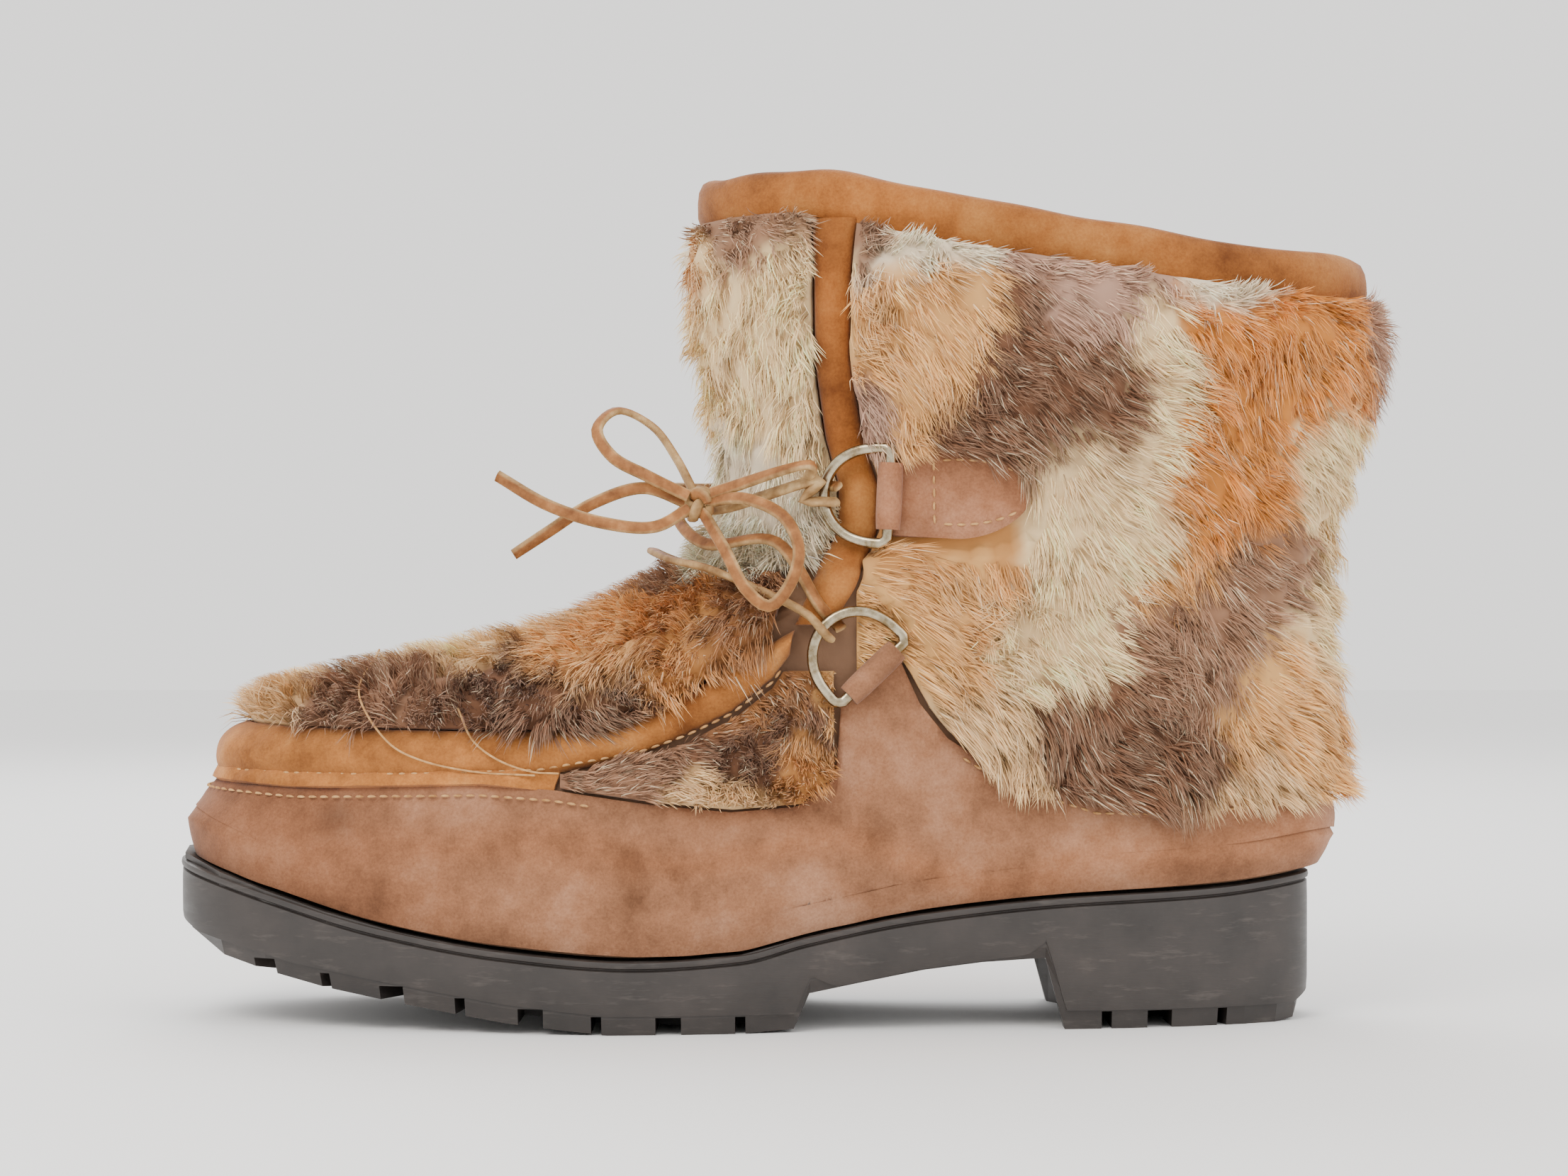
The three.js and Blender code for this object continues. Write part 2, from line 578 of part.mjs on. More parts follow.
// Locks in staggered rows between two heights of a pelt
function withLocks(pelt, place, grid, comb, size) {
  let solid = solidOf(pelt);
  for (let j = 0; j < grid.rows; j += 1) {
    for (let i = 0; i < grid.columns; i += 1) {
      const u = (i + 0.5 + (j % 2 ? 0.25 : -0.25)) / grid.columns;
      const s = lerp(grid.low, grid.high, j / (grid.rows - 1));
      const [angle, level] = place(u, s);
      const sway = Math.sin(7 * i + 5 * j);
      const lean = [comb[0] + 0.35 * sway, comb[1], comb[2]];
      solid = solid.add(lock(angle, level, lean, size.length, size.wide));
    }
  }
  return solid;
}

const stripX = (z, key) => straightThrough(stripRows, 'z', key, z);
const stripMargin = 1.8; // bare hide between strip and fur
// Where the fur may start ahead of the strip (edge 1) or behind it (edge -1) at a level
function stripLevelX(level, edge) {
  let x = 125;
  for (let i = 0; i < 3; i += 1) {
    const z = heightOn(sectionAt(level), x);
    x = stripX(z, 'x') + edge * (stripX(z, 'width') / 2 + stripMargin);
  }
  return x;
}
// The level just under the collar binding
function bindingLevel(angle, extra) {
  const drop = lastPoint(angle, collarLevel).z - lastPoint(angle, 9.5).z;
  return collarLevel - 0.5 * ((bindingHeight + extra) / drop);
}
const seamLevel = 5.7; // the apron meets the front panel

// Lower edge of the shaft's fur: over the foxing and its strap
const shaftLowRows = [
  { x: 20, z: 60 }, { x: 43, z: 58.5 }, { x: 61, z: 59 }, { x: 75, z: 63.5 }, { x: 91, z: 71 },
  { x: 98, z: 77 }, { x: 103, z: 88 }, { x: 106, z: 102 }, { x: 114, z: 103 },
];
const shaftFront = angleOf(127, 3); // where the fur starts behind the strip, low down
const frontAngle = (level) => angleOf(stripLevelX(Math.max(level, 3.7), -1), level);
const shaftShares = [
  0, ...shaftLowRows.map((r) => (angleOf(r.x, 3) - shaftFront) / (Math.PI - shaftFront)),
  0.42, 0.53, 0.58, 0.8, 0.86, 0.91, 0.95, 1,
].sort((a, b) => a - b);

// A column keeps its share of the way from strip to heel, eased so that its foot meets the foxing
function shaftPlace(u, s) {
  const at = 2 * (shaftShares.length - 1) * Math.min(u, 1 - u);
  const i = Math.min(shaftShares.length - 2, Math.floor(at));
  const share = lerp(shaftShares[i], shaftShares[i + 1], at - i);
  const foot = lastPoint(lerp(shaftFront, Math.PI, share), 3).x;
  const low = levelOf(Math.max(foot, 4), straightThrough(shaftLowRows, 'x', 'z', foot));
  const level = lerp(low, bindingLevel(lerp(1.3, Math.PI, share), 1), s);
  const start = frontAngle(low);
  const lowShare = clamp01((angleOf(foot, low) - start) / (Math.PI - start));
  const angle = lerp(frontAngle(level), Math.PI, lerp(lowShare, share, s));
  return [u < 0.5 ? angle : 2 * Math.PI - angle, level];
}

// Room in the fur for a ring and, behind it, for its tab
function clearance(ring, side, back, deep) {
  const { centre, bow, along, normal } = ringFrame(ring, side);
  const half = ringWidth / 2 + 3;
  const shape = new THREE.Shape();
  shape.moveTo(ringDepth + 3.5, -half);
  shape.lineTo(ringDepth + 3.5, half);
  shape.lineTo(-4.5, half);
  shape.lineTo(-back * 0.6, half * 0.84);
  shape.lineTo(-back, 3.5);
  shape.lineTo(-back, -3.5);
  shape.lineTo(-back * 0.6, -half * 0.84);
  shape.lineTo(-4.5, -half);
  const room = new THREE.ExtrudeGeometry(shape, { depth: 30, bevelEnabled: false });
  const place = centre.clone().addScaledVector(normal, -deep);
  room.applyMatrix4(new THREE.Matrix4().makeBasis(bow, along, bow.clone().cross(along)).setPosition(place));
  return solidOf(room);
}

function makeShaftFur() {
  const pelt = layer({
    columns: 2 * (shaftShares.length - 1), rows: 5, ring: false, place: shaftPlace,
    inner: () => furBase, outer: (u, s) => furDepth(u, s, 0.12),
  });
  const grid = { columns: 9, rows: 3, low: 0.24, high: 0.84 };
  let solid = withLocks(pelt, shaftPlace, grid, [0.35, -1, 0.3], { length: 20, wide: 7 });
  for (const side of [1, -1]) {
    solid = solid.subtract(clearance(rings.lower, side, 6, 2.4)).subtract(clearance(rings.upper, side, 6, 5));
    solid = solid.subtract(clearance(tabSeat, side, 21, 1.7));
  }
  return geometryFrom(clearOfUpper(solid));
}

function sideFurPlace(side) {
  return (u, s) => {
    const x = lerp(131, 190, u);
    const low = levelOf(x, foxingTop(x) + 1.2);
    const high = Math.max(levelOf(x, rollLow(Math.max(x, rollEnd + 1)) - 1.2), low + 0.03);
    const level = lerp(low, high, s);
    return [side * angleOf(x, level), level];
  };
}

function makeSideFur(side) {
  const forward = sideFurPlace(side);
  const place = (u, s) => forward(side > 0 ? 1 - u : u, s);
  const pelt = layer({
    columns: 8, rows: 3, ring: false, place, inner: () => furBase,
    outer: (u, s) => 3.2 + 2.6 * ease(0, 0.3, Math.min(u, 1 - u, s, 1 - s)),
  });
  let solid = solidOf(pelt);
  for (const x of [140, 150, 161]) {
    const level = levelOf(x, (foxingTop(x) + rollLow(x)) / 2);
    solid = solid.add(lock(side * angleOf(x, level), level, [side * 0.7, -0.2, 0.3], 10, 3.6));
  }
  return geometryFrom(solid.subtract(clearance(rings.lower, side, 6, 2.4)));
}

function apronPlace(u, s) {
  const level = lerp(3.1, seamLevel - 0.1 - 0.2 * (2 * u - 1) ** 2, s);
  const edge = angleOf(lerp(143, 141, s), level);
  const across = 2 * u - 1;
  return [edge * (0.5 * across + 0.5 * Math.sin((Math.PI / 2) * across)), level];
}

function makeApronFur() {
  const pelt = layer({
    columns: 22, rows: 6, ring: false, place: apronPlace, inner: () => furBase,
    outer: (u, s) => furDepth(u, Math.min(s, 0.5), 0.2)
      + 1.5 * ease(0, 0.4, s) * ease(0, 0.3, Math.min(u, 1 - u)),
  });
  const grid = { columns: 5, rows: 3, low: 0.24, high: 0.74 };
  const solid = withLocks(pelt, apronPlace, grid, [0, -1, 0.36], { length: 17, wide: 6 });
  return geometryFrom(clearOfUpper(solid));
}

function frontPlace(u, s) {
  const level = lerp(seamLevel + 0.1 + 0.1 * (2 * u - 1) ** 2, bindingLevel(0, 1), s);
  const edge = angleOf(stripLevelX(level, 1), level);
  return [lerp(-edge, edge, u), level];
}

function makeFrontFur() {
  const pelt = layer({
    columns: 14, rows: 6, ring: false, place: frontPlace, inner: () => furBase,
    outer: (u, s) => furDepth(u, s, 0.2) + 1.2 * ease(0, 0.3, Math.min(u, 1 - u)),
  });
  const grid = { columns: 3, rows: 3, low: 0.24, high: 0.84 };
  let solid = withLocks(pelt, frontPlace, grid, [0, -1, 0.28], { length: 17, wide: 6 });
  for (const side of [1, -1]) solid = solid.subtract(clearance(rings.upper, side, 5, 5));
  return geometryFrom(clearOfUpper(solid));
}

function makeStrip(side) {
  const edging = layer({
    columns: 3, rows: 12, ring: false,
    place: (u, s) => {
      const z = lerp(102.5, 202.5, s);
      const x = stripX(z, 'x') + (u - 0.5) * side * -stripX(z, 'width');
      const level = levelOf(x, z);
      return [side * angleOf(x, level), level];
    },
    inner: () => snug, outer: (u) => snug + suede * 0.8 + 1.1 * Math.sin(Math.PI * u),
  });
  return geometryFrom(clearOfUpper(solidOf(edging)));
}

// The collar binding folds over the wall's top edge: outside, over the top and inside
function makeBinding() {
  const columns = 40;
  const foldRows = [
    { down: bindingHeight, out: gap }, { down: bindingHeight, out: gap + suede * 0.8 },
    { down: 3, out: gap + suede * 1.3 }, { down: -1.4, out: gap + suede * 0.6 },
    { down: -2.2, out: -wall / 2 },
    { down: -1.4, out: -wall - suede * 0.6 }, { down: 3, out: -wall - suede * 1.1 },
    { down: bindingHeight, out: -wall - suede * 0.8 }, { down: bindingHeight, out: -wall - gap },
    { down: -gap, out: -wall - gap }, { down: -gap, out: gap },
  ];
  const points = [];
  const triangles = [];
  const deep = foldRows.length;
  for (let i = 0; i < columns; i += 1) {
    const angle = (2 * Math.PI * i) / columns;
    const rim = lastPoint(angle, collarLevel);
    const drop = rim.z - lastPoint(angle, 9.5).z;
    for (const row of foldRows) {
      const level = row.down > 0 ? collarLevel - 0.5 * (row.down / drop) : collarLevel;
      const p = skin(angle, level, row.out);
      if (row.down < 0) p.z -= row.down;
      points.push(p);
    }
  }
  const index = (i, j) => (i % columns) * deep + (j % deep);
  for (let i = 0; i < columns; i += 1) {
    for (let j = 0; j < deep; j += 1) {
      triangles.push(index(i, j), index(i + 1, j), index(i + 1, j + 1));
      triangles.push(index(i, j), index(i + 1, j + 1), index(i, j + 1));
    }
  }
  return geometryOf(points, triangles);
}

// Leaf-shaped tab that holds the upper ring
const tab = { front: 112.5, tip: 78, z: 135.5, half: 11.4, out: 3.1 };
function tabPlace(side) {
  return (u, s) => {
    const x = lerp(tab.tip, tab.front, u);
    const taper = Math.sqrt(Math.max(0.006, 1 - Math.max(0, 1 - u / 0.55) ** 2));
    const z = tab.z + (2 * s - 1) * tab.half * taper + 1.5 * (1 - u);
    const level = levelOf(x, z);
    return [side * angleOf(x, level), level];
  };
}
function makeTab(side) {
  const place = tabPlace(side);
  const plate = solidOf(layer({
    columns: 8, rows: 3, ring: false, place: (u, s) => place(side > 0 ? 1 - u : u, s),
    inner: () => tab.out, outer: () => tab.out + suede,
  }));
  const fold = ringSleeve(rings.upper, side);
  return geometryFrom(plate.add(fold.body).subtract(fold.bore));
}

// Lace: two crossings and a bar over the front, tied in a bow. Each stretch lists its turns by hand:
// angle and level on the upper, and height over it.
const overFur = pile + 8;
const laceBar = [
  { angle: 0.85, level: 5.2, out: overFur }, { angle: 0.45, level: 5.5, out: overFur },
  { angle: 0, level: 5.58, out: overFur }, { angle: -0.45, level: 5.5, out: overFur },
  { angle: -0.85, level: 5.2, out: overFur },
];
const laceCross = [
  { angle: 0.9, level: 5.6, out: overFur }, { angle: 0.45, level: 6.05, out: overFur },
  { angle: 0, level: 6.4, out: overFur }, { angle: -0.5, level: 6.6, out: overFur },
  { angle: -0.9, level: 6.75, out: overFur - 1 },
];
const onSkin = (turns, flip) => turns.map((t) => skin(t.angle * flip, t.level, t.out));
// Where the lace passes a ring: inside its bow and a little over it
function throughRing(ring, side, inward, lift) {
  const { centre, bow, normal } = ringFrame(ring, side);
  return centre.addScaledVector(bow, inward).addScaledVector(normal, lift);
}

function laceSolid(radius, sides, steps) {
  const [low, high] = [rings.lower, rings.upper];
  const stretches = [[throughRing(low, 1, 7, 8), ...onSkin(laceBar, 1), throughRing(low, -1, 7, 8)]];
  for (const side of [1, -1]) {
    const [start, end] = [throughRing(low, side, 7, 8), throughRing(high, -side, 10, 4.4)];
    stretches.push([start, ...onSkin(laceCross, side), end]);
  }
  const solids = stretches.map((line) => solidOf(bar(smoothLine(line, steps), radius, sides, false)));
  return solids.reduce((a, b) => a.add(b));
}

const knot = { angle: 0.42, level: 6.57, out: overFur + 5.2, radius: 5 };
const knotCentre = () => skin(knot.angle, knot.level, knot.out);
function makeKnot() {
  const ball = new THREE.IcosahedronGeometry(knot.radius, 1);
  ball.scale(0.9, 0.75, 1);
  ball.translate(...knotCentre().toArray());
  return ball;
}

// Free turns of the bow, in millimetres from the knot: ahead, to the outer side and up
const bowTurns = {
  bow_loop_front: [[4, 1.3, 2.9], [13, 2, 7], [22, 0, 12], [26, -3, 19], [21, -7, 24], [12, -10, 20],
    [6, -8, 12], [1.3, -3, 3.55]],
  bow_loop_side: [[-3.7, 2.8, 0.6], [-12, 10.5, 1], [-22, 17, -4], [-25.5, 19, -12], [-23, 19.5, -21],
    [-18, 21, -26], [-12.5, 22, -22], [-7, 17, -12], [-2, 2.6, -3.6]],
  lace_end_low: [[3.6, 2.35, -2.05], [11, 5, -6], [24, 6, -5], [38, 5, -0.5], [51, 3, 7]],
  lace_end_high: [[4.45, -1.7, 0.35], [14, -1, 4], [27, 0, 0], [38, 0, -7], [47, 1, -13]],
};
function makeCord(turns) {
  const centre = knotCentre();
  const line = turns.map(([ahead, outward, up]) => centre.clone().add(new THREE.Vector3(ahead, outward, up)));
  const length = new THREE.CatmullRomCurve3(line, false, 'centripetal').getLength();
  return bar(smoothLine(line, Math.round(length / 6.5)), thongRadius, 8, false);
}

function finish(color, roughness, metalness = 0) {
  return new THREE.MeshStandardMaterial({ color, roughness, metalness });
}
const rubber = finish(0x4a4340, 0.55);
const suedeBrown = finish(0xa9744f, 0.95);
const suedeTan = finish(0xb5773a, 0.9);
const furCream = finish(0xd8c3a0, 1);
const furGinger = finish(0xb98a55, 1);
const furBrown = finish(0x8c725c, 1);
const felt = finish(0xcbb79a, 1);
const steel = finish(0xb9b2a4, 0.3, 1);
const thong = finish(0xb59a6a, 0.75);

const pieces = [
  ['outsole', makeOutsole(), rubber],
  ['insole', makeInsole(), felt],
  ['upper', makeUpper(), furBrown],
  ['foxing', makeFoxing(), suedeBrown],
  ['apron_roll', makeRoll(), suedeTan],
  ['apron_fur', makeApronFur(), furBrown],
  ['front_fur', makeFrontFur(), furCream],
  ['shaft_fur', makeShaftFur(), furGinger],
  ['collar_binding', makeBinding(), suedeTan],
  ['lace_crossings', geometryFrom(laceSolid(thongRadius, 5, 12)), thong],
];
for (const [sideName, side] of [['outer', 1], ['inner', -1]]) {
  pieces.push([`side_fur_${sideName}`, makeSideFur(side), furBrown]);
  pieces.push([`front_strip_${sideName}`, makeStrip(side), suedeTan]);
  pieces.push([`ring_tab_${sideName}`, makeTab(side), suedeBrown]);
  pieces.push([`ring_upper_${sideName}`, makeRing(rings.upper, side), steel]);
  pieces.push([`ring_lower_${sideName}`, makeRing(rings.lower, side), steel]);
}
const cords = [['bow_knot', makeKnot(), thong]];
for (const [name, turns] of Object.entries(bowTurns)) cords.push([name, makeCord(turns), thong]);

const boot = new THREE.Group();
for (const [name, geometry, material] of [...pieces, ...cords]) {
  const mesh = new THREE.Mesh(geometry, material);
  mesh.name = name;
  boot.add(mesh);
}

// Centre the boot, without its bow, over the origin
const extent = new THREE.Box3();
for (const [name] of pieces) extent.expandByObject(boot.getObjectByName(name), true);
const middle = extent.getCenter(new THREE.Vector3());
for (const mesh of boot.children) mesh.position.set(-middle.x, -middle.y, 0);

export default boot;
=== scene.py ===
import math

import bpy
import numpy as np
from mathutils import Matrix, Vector


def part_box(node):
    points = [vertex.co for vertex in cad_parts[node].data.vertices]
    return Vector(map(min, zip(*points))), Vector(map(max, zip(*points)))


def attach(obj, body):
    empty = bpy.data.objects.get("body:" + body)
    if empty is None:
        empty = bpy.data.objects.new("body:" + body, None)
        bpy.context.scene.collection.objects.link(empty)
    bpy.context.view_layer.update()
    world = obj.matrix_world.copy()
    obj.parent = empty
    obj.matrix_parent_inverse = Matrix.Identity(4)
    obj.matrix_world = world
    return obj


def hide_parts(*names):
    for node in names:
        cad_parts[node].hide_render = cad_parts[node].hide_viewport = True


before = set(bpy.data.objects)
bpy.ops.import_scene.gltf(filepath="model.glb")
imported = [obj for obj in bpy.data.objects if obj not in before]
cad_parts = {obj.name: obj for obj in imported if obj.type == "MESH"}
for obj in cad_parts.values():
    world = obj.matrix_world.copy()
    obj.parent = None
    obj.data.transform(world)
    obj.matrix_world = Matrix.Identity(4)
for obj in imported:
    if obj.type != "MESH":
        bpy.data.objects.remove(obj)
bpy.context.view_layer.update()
rng = np.random.default_rng(43)
print("frame loaded:", len(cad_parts), "nodes")

# form of the upper, in millimetres from the heel
form = {"wall": 2.6, "snug": 1.1, "suede": 2.0, "rollHeight": 5.2, "bindingHeight": 10.0, "humpX": 135.0,
        "humpSpread": 26.0, "toeSwing": 8.0, "swingSpan": (120, 300), "archCut": 5.0, "footLevels": (2, 5),
        "collarLevel": 10.0, "rimStep": 0.5}
sectionNames = ["toeX", "toeZ", "heelX", "heelZ", "toe", "ball", "waist", "heel", "square", "follow", "lift",
                "riseFrom", "riseTo", "hump"]
sectionRows = np.array([
    [291.5, 45, 4.5, 39, 50, 50, 37, 36, 0.6, 1, 0.8, 190, 130, 0],
    [294, 54, -1.5, 48, 51, 51.5, 40, 38.5, 0.62, 1, 10, 190, 130, 0],
    [287, 62, -1, 60, 45, 46, 40.5, 38, 0.7, 0, 10, 190, 130, 0],
    [279, 75, 3, 101, 40, 40, 39.5, 38, 0.78, 0, 10, 190, 130, 0],
    [238, 85.5, 3.5, 115, 36, 38, 39.5, 38.5, 0.95, 0, 10, 190, 110, 0],
    [190, 98.5, 2.5, 129, 36, 38.5, 40.5, 39, 1, 0, 10, 180, 80, 0],
    [157, 117, -1, 143, 40, 41, 42, 40, 0.95, 0, 10, 155, 70, 0],
    [150, 139, -5, 156, 42, 43, 44, 42, 0.9, 0, 10, 150, 85, 0],
    [154, 165, -9, 169, 43, 45, 46, 44, 0.88, 0, 10, 150, 20, 0],
    [158.5, 191, -10, 182, 43, 45.5, 47, 45, 0.88, 0, 10, 160, -10, 1.5],
    [160, 214, -10, 195, 43, 45.5, 47, 45, 0.88, 0, 10, 160, -10, 3.5],
])
widthStations = np.array([0, 0.32, 0.62, 0.86, 1])
# x with a height: the sole's top edge, the tread, the foxing's top and the foot of the shaft's fur
soleTopRows = np.array([[0, 39], [30, 35.4], [70, 33.4], [105, 29.7], [135, 24], [152, 19.8], [177, 18.4],
                        [210, 20.8], [241, 26], [270, 34.3], [300, 44.5]])
treadRows = np.array([[0, 6], [9, 0], [69, 0], [74, 19.2], [105, 15.4], [134, 9.8], [138, 0], [184, 0],
                      [210, 2.8], [237, 7.2], [263, 12], [286, 18.5], [300, 27]])
foxingRows = np.array([[-5, 59.5], [20, 58.5], [43, 57], [61, 57.5], [75, 62], [91, 69], [99, 74], [106, 83],
                       [111, 94], [113, 95], [126, 83], [127.5, 64], [136, 57], [153, 55.5], [175, 57.5],
                       [197, 60.5], [215, 61.5], [240, 60.8], [262, 60], [300, 61.5]])
shaftLowRows = np.array([[20, 59.6], [43, 58], [61, 58.5], [75, 62.8], [91, 70], [98, 75], [103, 81],
                         [108, 90], [112, 96.5], [118, 93], [127, 86.5]])
# x with the lower and the upper edge of the apron's roll
rollRows = np.array([[139, 93, 101], [143, 87, 98.5], [153, 79, 92], [164, 73.4, 85], [175, 69, 79],
                     [186, 66.3, 76], [200, 63.5, 75.2], [222, 62.4, 75], [246, 61.6, 75], [264, 61.6, 75],
                     [300, 62.5, 75]])
# z with the middle and the width of a front strip
stripRows = np.array([[101, 133.5, 9], [112, 127, 10], [126, 121, 9.5], [138, 120.5, 9], [150, 124, 8.5],
                      [170, 127, 8], [192, 127, 8.5], [214, 126, 12]])


# smooth curve through knots that never overshoots them: cubic pieces, harmonic mean of the slopes as tangents
def through(knots, values, at):
    values = np.asarray(values, float)
    at = np.asarray(at, float)
    h = np.diff(knots)
    if values.ndim == 1:
        values = values.reshape((-1,) + (1,) * at.ndim)
    slope = np.diff(values, axis=0) / h.reshape((-1,) + (1,) * (values.ndim - 1))
    before, after = slope[:-1], slope[1:]
    total = np.where(np.abs(before + after) < 1e-12, 1, before + after)
    inner = np.where(before * after <= 0, 0, 2 * before * after / total)
    tangent = np.concatenate([slope[:1], inner, slope[-1:]])
    x = np.clip(at, knots[0], knots[-1])
    i = np.searchsorted(knots[1:-1], x, side="left")
    full = np.broadcast_to(values, (len(knots),) + at.shape)
    tang = np.broadcast_to(tangent, (len(knots),) + at.shape)
    pick = lambda a, k: np.take_along_axis(a, k[None], 0)[0]
    step = h[i]
    t = (x - knots[i]) / step
    a = (1 + 2 * t) * (1 - t) ** 2 * pick(full, i) + t * t * (3 - 2 * t) * pick(full, i + 1)
    return a + step * (t * (1 - t) ** 2 * pick(tang, i) + t * t * (t - 1) * pick(tang, i + 1))


def ease(low, high, x):
    t = np.clip((np.asarray(x, float) - low) / (high - low), 0, 1)
    return t * t * (3 - 2 * t)


def mix(a, b, t):
    return a + (b - a) * t


# turns round a full circle
def roundTurns(count):
    return np.arange(count) / count * 2 * math.pi


# distance run along a line of points, and points picked on it by that distance
def runOf(line):
    return np.concatenate([[0], np.cumsum(np.linalg.norm(np.diff(line, axis=0), axis=1))])


def pickOn(line, run, at):
    return np.stack([np.interp(at, run, line[:, k]) for k in range(3)], -1)


levels = np.arange(len(sectionRows), dtype=float)
soleTop = lambda x: through(soleTopRows[:, 0], soleTopRows[:, 1], x)
tread = lambda x: np.interp(x, treadRows[:, 0], treadRows[:, 1])
foxingTop = lambda x: np.interp(x, foxingRows[:, 0], foxingRows[:, 1])
rollLow = lambda x: np.interp(x, rollRows[:, 0], rollRows[:, 1])
rollTop = lambda x: np.interp(x, rollRows[:, 0], rollRows[:, 2])
stripX = lambda z: np.interp(z, stripRows[:, 0], stripRows[:, 1])
stripWidth = lambda z: np.interp(z, stripRows[:, 0], stripRows[:, 2])


def sectionAt(level):
    return {name: through(levels, sectionRows[:, k], level) for k, name in enumerate(sectionNames)}


def heightOn(s, x):
    rise = ease(0, 1, (x - s["riseFrom"]) / (s["riseTo"] - s["riseFrom"]))
    hump = s["hump"] * np.exp(-(((x - form["humpX"]) / form["humpSpread"]) ** 2))
    return mix(mix(s["toeZ"], s["heelZ"], rise), soleTop(x) + s["lift"], s["follow"]) + hump


# point of the outer face: half a cosine runs from toe to heel, a power of the sine gives the width
def lastPoint(angle, level):
    angle, level = np.broadcast_arrays(np.asarray(angle, float), np.asarray(level, float))
    s = sectionAt(level)
    along = (1 - np.cos(angle)) / 2
    x = mix(s["toeX"], s["heelX"], along)
    side = np.where(np.sin(angle) < 0, -1.0, 1.0)
    low = 1 - ease(*form["footLevels"], level)
    waist = s["waist"] + np.where(side > 0, 0, -form["archCut"] * low)
    half = through(widthStations, np.stack([s["toe"], s["ball"], waist, s["heel"], s["heel"]]), along)
    swing = -form["toeSwing"] * low * ease(*form["swingSpan"], x)
    y = side * np.abs(np.sin(angle)) ** s["square"] * half + swing
    return np.stack([x, y, heightOn(s, x)], -1)


def unit(v):
    return v / np.maximum(np.linalg.norm(v, axis=-1, keepdims=True), 1e-9)


# unit vectors on the face: along the section, up the section, and outwards
def frameOn(angle, level):
    step = 0.02
    base = np.clip(level, step, form["collarLevel"] - step)
    ahead = lastPoint(angle + step, base) - lastPoint(angle - step, base)
    above = lastPoint(angle, base + step) - lastPoint(angle, base - step)
    normal = unit(np.cross(ahead, above))
    return unit(ahead), unit(np.cross(normal, ahead)), normal


# point at a height over the face
def skin(angle, level, out):
    normal = frameOn(np.asarray(angle, float), np.asarray(level, float))[2]
    return lastPoint(angle, level) + normal * np.asarray(out, float)[..., None]


# angle where a level passes x, on the outer side
def angleOf(x, level):
    s = sectionAt(np.asarray(level, float))
    return np.arccos(np.clip(2 * (s["toeX"] - x) / (s["heelX"] - s["toeX"]) + 1, -1, 1))


# level where the face passes a height, by halving the interval
def levelOf(x, z):
    halvings = 24
    x, z = np.broadcast_arrays(np.asarray(x, float), np.asarray(z, float))
    low, high = np.zeros(x.shape), np.full(x.shape, form["collarLevel"])
    for _ in range(halvings):
        mid = (low + high) / 2
        under = heightOn(sectionAt(mid), x) < z
        low, high = np.where(under, mid, low), np.where(under, high, mid)
    return (low + high) / 2


def skinAt(x, z, side, out):
    level = levelOf(x, z)
    return skin(side * angleOf(x, level), level, out)


# level a number of millimetres under the collar's rim, by the height of the last half level
def underRim(angle, down):
    top = np.full(np.shape(angle), form["collarLevel"])
    drop = lastPoint(angle, top)[..., 2] - lastPoint(angle, top - form["rimStep"])[..., 2]
    return top - form["rimStep"] * (down / drop)


# the frame's origin against the heel: the least corner of the upper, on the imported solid's own grid
solidGrid = {"columns": 36, "rows": 11, "crowding": 1.1}
solidTurns = roundTurns(solidGrid["columns"])[:, None]
solidShares = (np.arange(solidGrid["rows"] + 1) / solidGrid["rows"]) ** solidGrid["crowding"]
solidLevels = form["collarLevel"] * solidShares[None]
solidFaces = [skin(solidTurns, solidLevels, out).reshape(-1, 3) for out in (0.0, -form["wall"])]
heelPlace = np.concatenate(solidFaces).min(0) - np.array(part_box("upper")[0]) * 1000
heelPlace[2] = 0
print("heel to origin (mm):", np.round(heelPlace, 2))


def metres(points):
    return (np.asarray(points, float) - heelPlace) / 1000


# a mesh from arrays of points and faces, riding on the boot, with the nodes it stands for
def meshPiece(name, points, faces, material, replaced=(), sharp=None, colours=None):
    mesh = bpy.data.meshes.new(name)
    mesh.vertices.add(len(points))
    mesh.vertices.foreach_set("co", metres(points).astype(np.float32).ravel())
    loops = np.concatenate([f.ravel() for f in faces])
    counts = np.concatenate([np.full(len(f), f.shape[1]) for f in faces])
    mesh.loops.add(len(loops))
    mesh.loops.foreach_set("vertex_index", loops.astype(np.int32))
    mesh.polygons.add(len(counts))
    mesh.polygons.foreach_set("loop_start", (np.cumsum(counts) - counts).astype(np.int32))
    mesh.polygons.foreach_set("use_smooth", np.ones(len(counts), bool))
    mesh.update(calc_edges=True)
    if colours is not None:
        attribute = mesh.color_attributes.new("coat", "FLOAT_COLOR", "POINT")
        attribute.data.foreach_set("color", np.c_[colours, np.ones(len(colours))].astype(np.float32).ravel())
    if sharp:
        mesh.set_sharp_from_angle(angle=math.radians(sharp))
    mesh.materials.append(material)
    piece = bpy.data.objects.new(name, mesh)
    bpy.context.collection.objects.link(piece)
    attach(piece, "root")
    if replaced:
        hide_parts(*replaced)
    return piece


